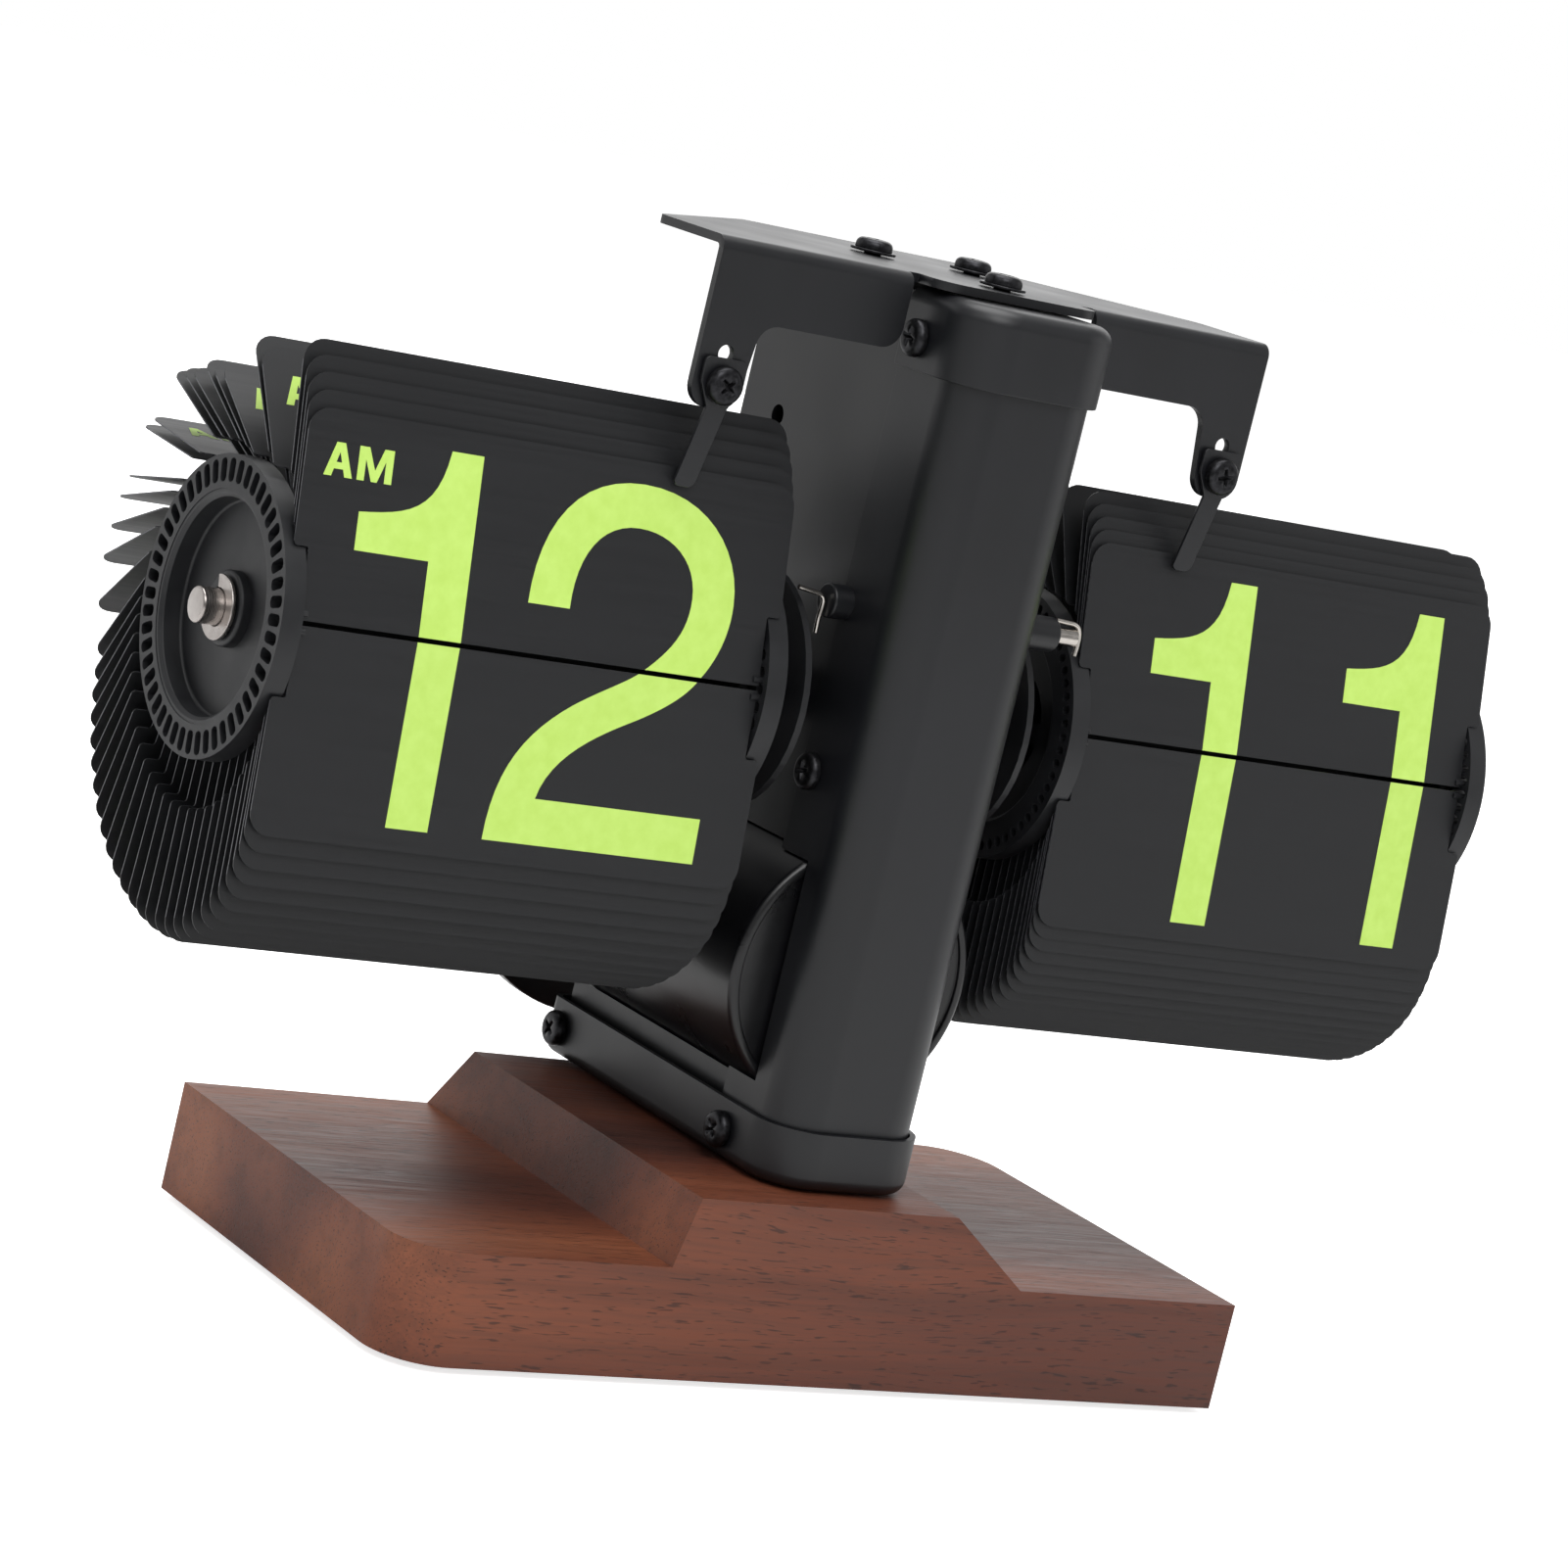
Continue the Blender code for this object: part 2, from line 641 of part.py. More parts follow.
def pressed_shell(name, half, front, back, radius, back_radius, low, high, open_above):
    """A tray pressed from sheet: a rounded plan, one open end and one flat end with a round edge."""
    rings = []
    for step in range(SOFT_STEPS + 1):
        angle = math.pi / 2 * step / SOFT_STEPS
        inset = PRESSED_SOFTENING * (1 - math.sin(angle))
        level = PRESSED_SOFTENING * (1 - math.cos(angle))
        back_inset = min(inset, back_radius * SOFT_SHARE)
        plan = column_outline(half - inset, front - inset, back - back_inset, radius - inset, back_radius - back_inset)
        rings.append([(x, y, low + level if open_above else high - level) for x, y in plan])
    rings.append([(x, y, high if open_above else low) for x, y, _ in rings[-1]])
    outer = loft(name, rings if open_above else rings[::-1], BLACK_PAINT)
    start = low + PRESSED_SHEET if open_above else low - OVERRUN
    height = high - low - PRESSED_SHEET + OVERRUN
    inside = column_outline(
        half - PRESSED_SHEET,
        front - PRESSED_SHEET,
        back - PRESSED_SHEET if back_radius else back + OVERRUN,
        radius - PRESSED_SHEET,
        back_radius - PRESSED_SHEET if back_radius else 0.0,
    )
    hollow = sheet(f"{name}_hollow", [inside], height, FLAT, start, None, parts=False)
    combine(outer, hollow, "DIFFERENCE")
    return outer


def shoe():
    return pressed_shell(
        "shoe",
        PRESSED_HALF,
        NOSE_TO_AXIS + GAP + PRESSED_SHEET,
        SHOE_BACK,
        NOSE_RADIUS + GAP + PRESSED_SHEET,
        SHOE_BACK_RADIUS,
        RIDGE_TOP_Z + GAP,
        SHOE_TOP_Z,
        True,
    )


def top_cap():
    return pressed_shell(
        "top_cap",
        PRESSED_HALF,
        NOSE_TO_AXIS + GAP + PRESSED_SHEET,
        -CAP_BACK,
        NOSE_RADIUS + GAP + PRESSED_SHEET,
        0.0,
        CAP_TOP_Z - CAP_HEIGHT,
        CAP_TOP_Z,
        False,
    )


# Top bracket and the flap stops
def bracket_flange(sign):
    """Front view of one flange: a web and an arm, as (x, z)."""
    top = BRACKET_TOP_Z
    outer = BRACKET_HALF_WIDTH - GAP
    corners = [
        (FLANGE_START, top - GAP, 0),
        (outer, top - GAP, 0),
        (outer, top - ARM_HEIGHT, ARM_RADIUS),
        (outer - ARM_WIDTH, top - ARM_HEIGHT, ARM_RADIUS),
        (outer - ARM_WIDTH, top - WEB_HEIGHT, ARM_RADIUS),
        (FLANGE_START, top - WEB_HEIGHT, ARM_RADIUS),
    ]
    return rounded([(sign * x, z, radius) for x, z, radius in corners])


def top_bracket():
    front = AXIS_Y - BRACKET_FRONT
    lip = AXIS_Y - LIP_FRONT
    middle = AXIS_Y + BRACKET_MIDDLE_BACK
    end = AXIS_Y + BRACKET_END_BACK
    half = []
    for sign in (1, -1):
        side = [
            (sign * LIP_HALF_WIDTH, lip, LIP_CORNER_RADIUS),
            (sign * LIP_HALF_WIDTH, front + GAP * 2, 0),
            (sign * BRACKET_HALF_WIDTH, front + GAP, 0),
            (sign * BRACKET_HALF_WIDTH, end, BRACKET_CORNER_RADIUS),
            (sign * BRACKET_MIDDLE_HALF, middle, BRACKET_CORNER_RADIUS),
        ]
        half += side if sign > 0 else side[::-1]
    plate = sheet(
        "top_bracket",
        [rounded(half)],
        BRACKET_SHEET,
        FLAT,
        BRACKET_TOP_Z - BRACKET_SHEET,
        BLACK_PAINT,
    )
    for side, sign in SIDES.items():
        flange = sheet(
            f"flange_{side}",
            [bracket_flange(sign)],
            BRACKET_SHEET,
            FACING_Y,
            -(front + BRACKET_SHEET),
            None,
            parts=False,
        )
        combine(plate, flange, "UNION")
    return plate


def flap_stop(name, sign):
    """A slotted finger: a head, and a blade that bends back to the page."""
    top = BRACKET_TOP_Z
    centre = sign * STOP_CENTRE
    head, blade = STOP_HEAD_WIDTH / 2, STOP_BLADE_WIDTH / 2
    outline = rounded(
        [
            (centre - head, top - STOP_HEAD_TOP, blade),
            (centre - head, top - STOP_HEAD_BOTTOM + head, blade),
            (centre - blade, top - STOP_HEAD_BOTTOM, 0),
            (centre - blade, STOP_TIP_Z, blade / 2),
            (centre + blade, STOP_TIP_Z, blade / 2),
            (centre + blade, top - STOP_HEAD_BOTTOM, 0),
            (centre + head, top - STOP_HEAD_BOTTOM + head, blade),
            (centre + head, top - STOP_HEAD_TOP, blade),
        ]
    )
    cut = slot(STOP_SLOT_HALF, top - STOP_SLOT_BOTTOM + STOP_SLOT_HALF, top - STOP_SLOT_TOP - STOP_SLOT_HALF, centre)
    back = AXIS_Y - BRACKET_FRONT - GAP
    mesh = sheet_mesh(name, [outline, cut], STOP_SHEET, FACING_Y, -back)
    bend_z = top - STOP_HEAD_BOTTOM
    work = bmesh.new()
    work.from_mesh(mesh)
    every = work.verts[:] + work.edges[:] + work.faces[:]
    bmesh.ops.bisect_plane(work, geom=every, dist=MM / 10000, plane_co=(0, 0, bend_z), plane_no=(0, 0, 1))
    for vertex in work.verts:
        drop = max(0.0, bend_z - vertex.co.z)
        vertex.co.y += STOP_BEND * drop / (bend_z - STOP_TIP_Z)
    work.to_mesh(mesh)
    work.free()
    return add(name, mesh, BLACK_PAINT)


# Fasteners
def screw(name, place, axis, washer=False, shank_length=SCREW_GRIP):
    """A pan head screw whose head rests at place and points along axis."""
    seat = WASHER_SHEET if washer else 0.0
    top = seat + SCREW_HEAD_HEIGHT
    profile = [
        (0, top),
        (SCREW_HEAD / 2, top),
        (SCREW_HEAD, seat + SCREW_HEAD_HEIGHT / 2),
        (SCREW_HEAD, seat),
    ]
    if washer:
        profile += [(WASHER_RADIUS, WASHER_SHEET), (WASHER_RADIUS, 0)]
    profile += [(SCREW_SHANK, 0), (SCREW_SHANK, -shank_length), (0, -shank_length)]
    made = turned(name, profile, axis, BLACK_SCREW, place, SCREW_STEPS)
    long, short = RECESS_ARM, RECESS_WIDTH / 2
    cross = []
    for quarter in range(4):
        turn = Matrix.Rotation(RECESS_TURN + quarter * TURN / 4, 2)
        cross += [turn @ Vector(point) for point in ((long, short), (short, short), (short, long))]
    recess = sheet(
        f"{name}_recess",
        [cross],
        RECESS_DEPTH + OVERRUN,
        FLAT,
        top - RECESS_DEPTH,
        None,
        place,
        parts=False,
    )
    recess.rotation_euler = made.rotation_euler
    combine(made, recess, "DIFFERENCE")
    return made


def screw_hole(target, name, place, axis, length):
    """A clearance hole for a screw, through what it holds."""
    radius = SCREW_SHANK + GAP
    hole = turned(
        f"{target.name}_{name}",
        [(0, OVERRUN), (radius, OVERRUN), (radius, -length - OVERRUN), (0, -length - OVERRUN)],
        axis,
        None,
        place,
        12,
        parts=False,
    )
    return combine(target, hole, "DIFFERENCE")


def bracket_screws(bracket, cap):
    seats = {
        "front": (0, AXIS_Y - TOP_SCREW_FRONT),
        "left": (-TOP_SCREW_SPREAD, AXIS_Y + TOP_SCREW_BACK),
        "right": (TOP_SCREW_SPREAD, AXIS_Y + TOP_SCREW_BACK),
    }
    for side, (x, y) in seats.items():
        place = (x, y, BRACKET_TOP_Z + GAP)
        screw_hole(bracket, f"hole_{side}", place, "z", BRACKET_SHEET + GAP)
        screw(f"bracket_screw_{side}", place, "z", True, BRACKET_SHEET + GAP * 2 + PRESSED_SHEET)
    front_x, front_y = seats["front"]
    screw_hole(cap, "hole_front", (front_x, front_y, CAP_TOP_Z), "z", PRESSED_SHEET)


def stop_screws(bracket):
    for side, sign in SIDES.items():
        y = AXIS_Y - BRACKET_FRONT - STOP_SHEET - GAP * 2
        place = (sign * STOP_CENTRE, y, BRACKET_TOP_Z - STOP_SCREW_DROP)
        screw_hole(bracket, f"stop_hole_{side}", place, "-y", STOP_SHEET + BRACKET_SHEET + GAP * 2)
        screw(f"stop_screw_{side}", place, "-y", False, STOP_SHEET + BRACKET_SHEET + GAP * 2)


def side_screws(cap, cover, plates, shoe_tray):
    """Screws through the cap, the cover's flank and the shoe, on both sides."""
    for side, sign in SIDES.items():
        axis = "x" if sign > 0 else "-x"
        plate = plates[side]
        grip = COVER_SHEET + GAP * 2 + PLATE_SHEET
        capped = grip + PRESSED_SHEET + GAP
        cap_place = (sign * (PRESSED_HALF + GAP), AXIS_Y - CAP_SCREW_FRONT, CAP_TOP_Z - CAP_SCREW_DROP)
        for target in (cap, cover, plate):
            screw_hole(target, f"cap_hole_{side}", cap_place, axis, capped)
        screw(f"cap_screw_{side}", cap_place, axis, False, capped)
        flank_place = (sign * (COVER_HALF + GAP), AXIS_Y - FLANK_SCREW_FRONT, AXIS_Z - FLANK_SCREW_DROP)
        for target in (cover, plate):
            screw_hole(target, f"flank_hole_{side}", flank_place, axis, grip)
        screw(f"flank_screw_{side}", flank_place, axis, False, grip)
        shoe_z = SHOE_TOP_Z - SHOE_SCREW_DROP
        for row, y in (("front", AXIS_Y - SHOE_SCREW_FRONT), ("rear", AXIS_Y + SHOE_SCREW_BACK)):
            place = (sign * (PRESSED_HALF + GAP), y, shoe_z)
            held = (shoe_tray, cover, plate) if row == "front" else (shoe_tray, plate)
            for target in held:
                screw_hole(target, f"shoe_hole_{row}_{side}", place, axis, capped)
            screw(f"shoe_screw_{row}_{side}", place, axis, False, capped)


# Drums
def wheel(name, sign, start, count, outermost, parent):
    """A leaf wheel: a rim on a web set to the leaves' side, with one pin hole a leaf in the outer one."""
    low = start if sign > 0 else -start - WHEEL_THICKNESS
    holes = [
        circle(
            PIN_HOLE,
            4,
            (
                HINGE_RADIUS * math.cos(TURN * index / count),
                HINGE_RADIUS * math.sin(TURN * index / count),
            ),
            TURN * index / count,
        )
        for index in range(count if outermost else 0)
    ]
    rim = sheet(
        name,
        [circle(WHEEL_RADIUS, 48), circle(WHEEL_RIM_INNER, 32), *holes],
        WHEEL_THICKNESS,
        FACING_X,
        low,
        BLACK_PLASTIC,
        (0, AXIS_Y, AXIS_Z),
    )
    web_low = low + GAP if (sign > 0) == outermost else low + WHEEL_THICKNESS - WHEEL_WEB - GAP
    web = sheet(
        f"{name}_web",
        [circle(WHEEL_RIM_INNER + OVERRUN, 32), circle(AXLE_BORE + SLEEVE_WALL + GAP, 20)],
        WHEEL_WEB,
        FACING_X,
        web_low,
        None,
        (0, AXIS_Y, AXIS_Z),
        parts=False,
    )
    combine(rim, web, "UNION")
    return hang(rim, parent)


def core(name, sign, parent):
    """The tube between the wheels, with the outer hub that the clip holds."""
    length = CORE_END_X - CORE_START_X - GAP * 2
    profile = [
        (AXLE_BORE, length),
        (CORE_RADIUS, length),
        (CORE_RADIUS, 0),
        (AXLE_BORE, 0),
    ]
    axis = "x" if sign > 0 else "-x"
    tube = turned(name, profile, axis, BLACK_PLASTIC, (sign * (CORE_START_X + GAP), AXIS_Y, AXIS_Z), 24)
    hub_length = HUB_END_X - CORE_END_X + GAP
    neck = AXLE_BORE + SLEEVE_WALL
    hub = turned(
        f"{name}_hub",
        [(AXLE_BORE, hub_length), (neck, hub_length), (neck, -OVERRUN), (AXLE_BORE, -OVERRUN)],
        axis,
        None,
        (sign * (CORE_END_X - GAP), AXIS_Y, AXIS_Z),
        24,
        parts=False,
    )
    combine(tube, hub, "UNION")
    return hang(tube, parent)


def hub_collar(name, sign, parent):
    """The black collar between the outer web and the clip."""
    inner = AXLE_BORE + SLEEVE_WALL + GAP
    start = OUTER_WHEEL_X + WHEEL_WEB + GAP * 2
    length = HUB_END_X - start
    profile = [(inner, length), (HUB_RADIUS, length), (HUB_RADIUS, 0), (inner, 0)]
    axis = "x" if sign > 0 else "-x"
    made = turned(name, profile, axis, BLACK_PLASTIC, (sign * start, AXIS_Y, AXIS_Z), 24)
    return hang(made, parent)


def axle():
    length = (CLIP_X + CLIP_SHEET + AXLE_PROUD) * 2
    profile = [
        (0, length / 2),
        (AXLE_RADIUS - GAP, length / 2),
        (AXLE_RADIUS, length / 2 - GAP),
        (AXLE_RADIUS, -length / 2 + GAP),
        (AXLE_RADIUS - GAP, -length / 2),
        (0, -length / 2),
    ]
    return turned("axle", profile, "x", STEEL, (0, AXIS_Y, AXIS_Z), 24)


def axle_clip(name, sign):
    inner = AXLE_RADIUS + GAP / 2
    profile = [(inner, CLIP_SHEET), (CLIP_RADIUS, CLIP_SHEET), (CLIP_RADIUS, 0), (inner, 0)]
    axis = "x" if sign > 0 else "-x"
    return turned(name, profile, axis, STEEL, (sign * CLIP_X, AXIS_Y, AXIS_Z), 24)


# Leaves
def stated_lean(turn_deg):
    """A leaf's lean at its place round the drum, read between the stated places."""
    for (start, before), (end, after) in zip(LEAN_BY_TURN_DEG, LEAN_BY_TURN_DEG[1:]):
        if turn_deg <= end:
            return math.radians(before + (after - before) * (turn_deg - start) / (end - start))
    return math.radians(LEAN_BY_TURN_DEG[-1][1])


def leaf_lean(count, index):
    """A leaf's lean, held back where it would reach the next leaf's hinge."""
    angle = hinge_angle(count, index)
    chord = 2 * HINGE_RADIUS * math.sin(math.pi / count)
    lean = stated_lean(math.degrees(angle - hinge_angle(count, 0)))
    return min(lean, angle + math.pi / count - math.asin((LEAF_SHEET + LEAF_AIR) / chord))


def hinge_angle(count, index):
    """Angle of leaf index's hinge above the horizontal front, growing up and over the back."""
    return PAGE_RISE + TURN / count * (0.5 + index)


def hinge_place(count, index):
    angle = hinge_angle(count, index)
    return (-HINGE_RADIUS * math.cos(angle), HINGE_RADIUS * math.sin(angle))


def leaf_overhang(count):
    """How far a leaf runs past its hinge, so that two pages leave the slit."""
    return (2 * HINGE_RADIUS * math.sin(math.pi / count) - LEAF_SLIT) / 2


def page_leaf(name, sign, count, index, lean, finish=LEAF_PLASTIC):
    """One whole leaf with its notches and rounded corners, hinged at its own origin."""
    low, high = LEAF_INNER, LEAF_OUTER
    over = leaf_overhang(count)
    corners = [
        (low, LEAF_REACH, LEAF_CORNER),
        (low, LEAF_NOTCH_REACH, 0),
        (low + LEAF_NOTCH, LEAF_NOTCH_REACH, 0),
        (low + LEAF_NOTCH, -over, 0),
        (high - LEAF_NOTCH, -over, 0),
        (high - LEAF_NOTCH, LEAF_NOTCH_REACH, 0),
        (high, LEAF_NOTCH_REACH, 0),
        (high, LEAF_REACH, LEAF_CORNER),
    ]
    outline = rounded([(sign * x, y, radius) for x, y, radius in corners])
    mesh = sheet_mesh(name, [outline], LEAF_SHEET, FACING_Y, -LEAF_SHEET / 2)
    mesh.transform(Matrix.Rotation(-lean, 4, "X"))
    y, z = hinge_place(count, index)
    return add(name, mesh, finish, (0, AXIS_Y + y, AXIS_Z + z))


def leaf_band(name, sign, count, start, end):
    """The leaves from start to end as one comb: a band at the hinges that carries each leaf."""
    inner = HINGE_RADIUS - BAND_DEPTH
    half = LEAF_SHEET / 2
    outer_side = []
    inner_side = []
    for index in range(start, end + 1):
        y, z = hinge_place(count, index)
        angle = hinge_angle(count, index)
        lean = leaf_lean(count, index)
        along = (math.sin(lean), math.cos(lean))
        across = (math.cos(lean), -math.sin(lean))
        tip = (y + along[0] * LEAF_REACH, z + along[1] * LEAF_REACH)
        outer_side += [
            (y - across[0] * half, z - across[1] * half),
            (tip[0] - across[0] * half, tip[1] - across[1] * half),
            (tip[0] + across[0] * half, tip[1] + across[1] * half),
            (y + across[0] * half, z + across[1] * half),
        ]
        inner_side.append((-inner * math.cos(angle), inner * math.sin(angle)))
    outline = outer_side + inner_side[::-1]
    low = LEAF_INNER if sign > 0 else -LEAF_OUTER
    comb = sheet(name, [outline], LEAF_WIDTH, FACING_X, low, LEAF_PLASTIC, (0, AXIS_Y, AXIS_Z))
    clear = math.hypot(HINGE_RADIUS, LEAF_NOTCH_REACH)
    for end_name, edge in (("inner", LEAF_INNER), ("outer", LEAF_OUTER - LEAF_NOTCH)):
        start_x = edge - (OVERRUN if end_name == "inner" else 0)
        length = LEAF_NOTCH + OVERRUN
        notch = turned(
            f"{name}_notch_{end_name}",
            [(0, length), (clear, length), (clear, 0), (0, 0)],
            "x" if sign > 0 else "-x",
            None,
            (sign * start_x, AXIS_Y, AXIS_Z),
            48,
            parts=False,
        )
        combine(comb, notch, "DIFFERENCE")
    return comb


# Gear train
def pitch_radius(teeth, mate_teeth, distance):
    return distance * teeth / (teeth + mate_teeth)


def gear_outline(teeth, mate_teeth, distance, phase=0.0):
    """A gear's outline: straight-sided teeth about its pitch circle."""
    radius = pitch_radius(teeth, mate_teeth, distance)
    tooth_shares = ((-0.3, -1), (-0.15, 1), (0.15, 1), (0.3, -1))
    outline = []
    for index in range(teeth):
        for share, way in tooth_shares:
            angle = phase + TURN * (index + share) / teeth
            reach = radius - GEAR_PLAY / 2 + way * (GEAR_DEPTH - GEAR_PLAY) / 2
            outline.append((reach * math.cos(angle), reach * math.sin(angle)))
    return outline


def gear(name, teeth, mate_teeth, distance, bore, start, finish, place, parts=True, phase=0.0):
    outlines = [gear_outline(teeth, mate_teeth, distance, phase)]
    if bore:
        outlines.append(circle(bore, 16))
    return sheet(name, outlines, GEAR_SHEET, FACING_X, start, finish, place, parts)


def sleeve(name, sign, inner_end, gears, parent):
    """A sleeve on the axle that carries its drum's drive into the column, with its gears."""
    outer = AXLE_BORE + SLEEVE_WALL
    high = CORE_START_X
    length = high - inner_end
    axis = "x" if sign > 0 else "-x"
    made = turned(
        name,
        [(AXLE_BORE, length), (outer, length), (outer, 0), (AXLE_BORE, 0)],
        axis,
        BLACK_PLASTIC,
        (sign * inner_end, AXIS_Y, AXIS_Z),
        24,
    )
    disc_x = sign * (INNER_WHEEL_X - WHEEL_THICKNESS - FLANGE_DISC_INSET)
    disc = sheet(
        f"{name}_disc",
        [circle(FLANGE_DISC_RADIUS, 40), circle(FUSED_BORE, 16)],
        FLANGE_DISC_SHEET,
        FACING_X,
        disc_x - FLANGE_DISC_SHEET / 2,
        None,
        (0, AXIS_Y, AXIS_Z),
        parts=False,
    )
    combine(made, disc, "UNION")
    for wheel_part in gears:
        combine(made, wheel_part, "UNION")
    return hang(made, parent)


def drums():
    """Both drums with their wheels, cores, sleeves and leaves."""
    centre = (0, AXIS_Y, AXIS_Z)
    hour_axis = axis_empty("hour_drum_axis", centre)
    minute_axis = axis_empty("minute_drum_axis", centre)
    for word, sign, count, parent in (
        ("hour", LEFT, HOUR_LEAVES, hour_axis),
        ("minute", RIGHT, MINUTE_LEAVES, minute_axis),
    ):
        wheel(f"{word}_wheel_outer", sign, OUTER_WHEEL_X, count, True, parent)
        wheel(f"{word}_wheel_inner", sign, INNER_WHEEL_X - WHEEL_THICKNESS, count, False, parent)
        core(f"{word}_drum_core", sign, parent)
        hub_collar(f"{word}_hub_collar", sign, parent)
        axle_clip(f"axle_clip_{word}", sign)
        page_leaf(f"{word}_page_upper", sign, count, 0, stated_lean(0.0))
        page_leaf(f"{word}_page_lower", sign, count, -1, stated_lean(360.0))
        leaf_band(f"{word}_leaf_pack", sign, count, PAGE_SKIP, count - 1 - PAGE_SKIP)
    return hour_axis, minute_axis


def gear_train(hour_axis, minute_axis):
    """Motor, idler and the two sleeves, with each pair of gears in one plane."""
    shaft_centre = (0, AXIS_Y, AXIS_Z)
    hour_low = -PLATE_INNER + HOUR_GEAR_INSET
    minute_low = -PLATE_INNER + MINUTE_PINION_INSET
    motor_low = -PLATE_INNER + MOTOR_GEAR_INSET
    idler_place = (0, AXIS_Y, AXIS_Z + GEAR_DISTANCE)
    motor_place = (0, AXIS_Y + MOTOR_DISTANCE, AXIS_Z)
    hour_gear = gear(
        "hour_gear", HOUR_GEAR_TEETH, HOUR_PINION_TEETH, GEAR_DISTANCE, FUSED_BORE,
        hour_low, None, shaft_centre, False,
    )
    sleeve("hour_sleeve", LEFT, -(hour_low + GEAR_SHEET) - GAP, [hour_gear], hour_axis)
    minute_pinion = gear(
        "minute_pinion", MINUTE_PINION_TEETH, IDLER_TEETH, GEAR_DISTANCE, FUSED_BORE,
        minute_low, None, shaft_centre, False,
    )
    motor_gear = gear(
        "motor_gear", MOTOR_GEAR_TEETH, MOTOR_PINION_TEETH, MOTOR_DISTANCE, FUSED_BORE,
        motor_low, None, shaft_centre, False,
    )
    sleeve("minute_sleeve", RIGHT, minute_low - GAP, [minute_pinion, motor_gear], minute_axis)
    idler_axis = axis_empty("idler_axis", idler_place)
    half_tooth = TURN / IDLER_TEETH / 2
    idler_low, idler_high = hour_low - GAP, minute_low + GEAR_SHEET + GAP
    pipe_radius = pitch_radius(HOUR_PINION_TEETH, HOUR_GEAR_TEETH, GEAR_DISTANCE) - GEAR_DEPTH
    pipe_bore = (ARBOR_BORE + pipe_radius) / 2
    idler = sheet(
        "idler_gear",
        [circle(pipe_radius, 16), circle(ARBOR_BORE, 16)],
        idler_high - idler_low,
        FACING_X,
        idler_low,
        BRASS,
        idler_place,
    )
    wheel_part = gear(
        "idler_wheel", IDLER_TEETH, MINUTE_PINION_TEETH, GEAR_DISTANCE, pipe_bore,
        minute_low, None, idler_place, False, half_tooth,
    )
    pinion = gear(
        "idler_pinion", HOUR_PINION_TEETH, HOUR_GEAR_TEETH, GEAR_DISTANCE, pipe_bore,
        hour_low, None, idler_place, False, TURN / HOUR_PINION_TEETH / 2,
    )
    combine(idler, wheel_part, "UNION")
    combine(idler, pinion, "UNION")
    hang(idler, idler_axis)
    arbor_half = PLATE_INNER - GAP
    turned(
        "idler_arbor",
        [(0, arbor_half), (ARBOR_RADIUS, arbor_half), (ARBOR_RADIUS, -arbor_half), (0, -arbor_half)],
        "x",
        STEEL,
        idler_place,
        16,
    )
    motor_axis = axis_empty("motor_axis", motor_place)
    motor_pinion = gear(
        "motor_pinion", MOTOR_PINION_TEETH, MOTOR_GEAR_TEETH, MOTOR_DISTANCE, 0,
        motor_low, BRASS, motor_place, True, TURN / MOTOR_PINION_TEETH / 2,
    )
    hang(motor_pinion, motor_axis)
    can_start = PLATE_INNER - GAP - MOTOR_LENGTH
    turned(
        "motor",
        [
            (0, MOTOR_LENGTH),
            (MOTOR_RADIUS, MOTOR_LENGTH),
            (MOTOR_RADIUS, 0),
            (MOTOR_SHAFT_RADIUS * 3, 0),
            (MOTOR_SHAFT_RADIUS * 3, GAP - can_start + motor_low + GEAR_SHEET),
            (0, GAP - can_start + motor_low + GEAR_SHEET),
        ],
        "x",
        STEEL,
        (can_start, *motor_place[1:]),
        28,
    )


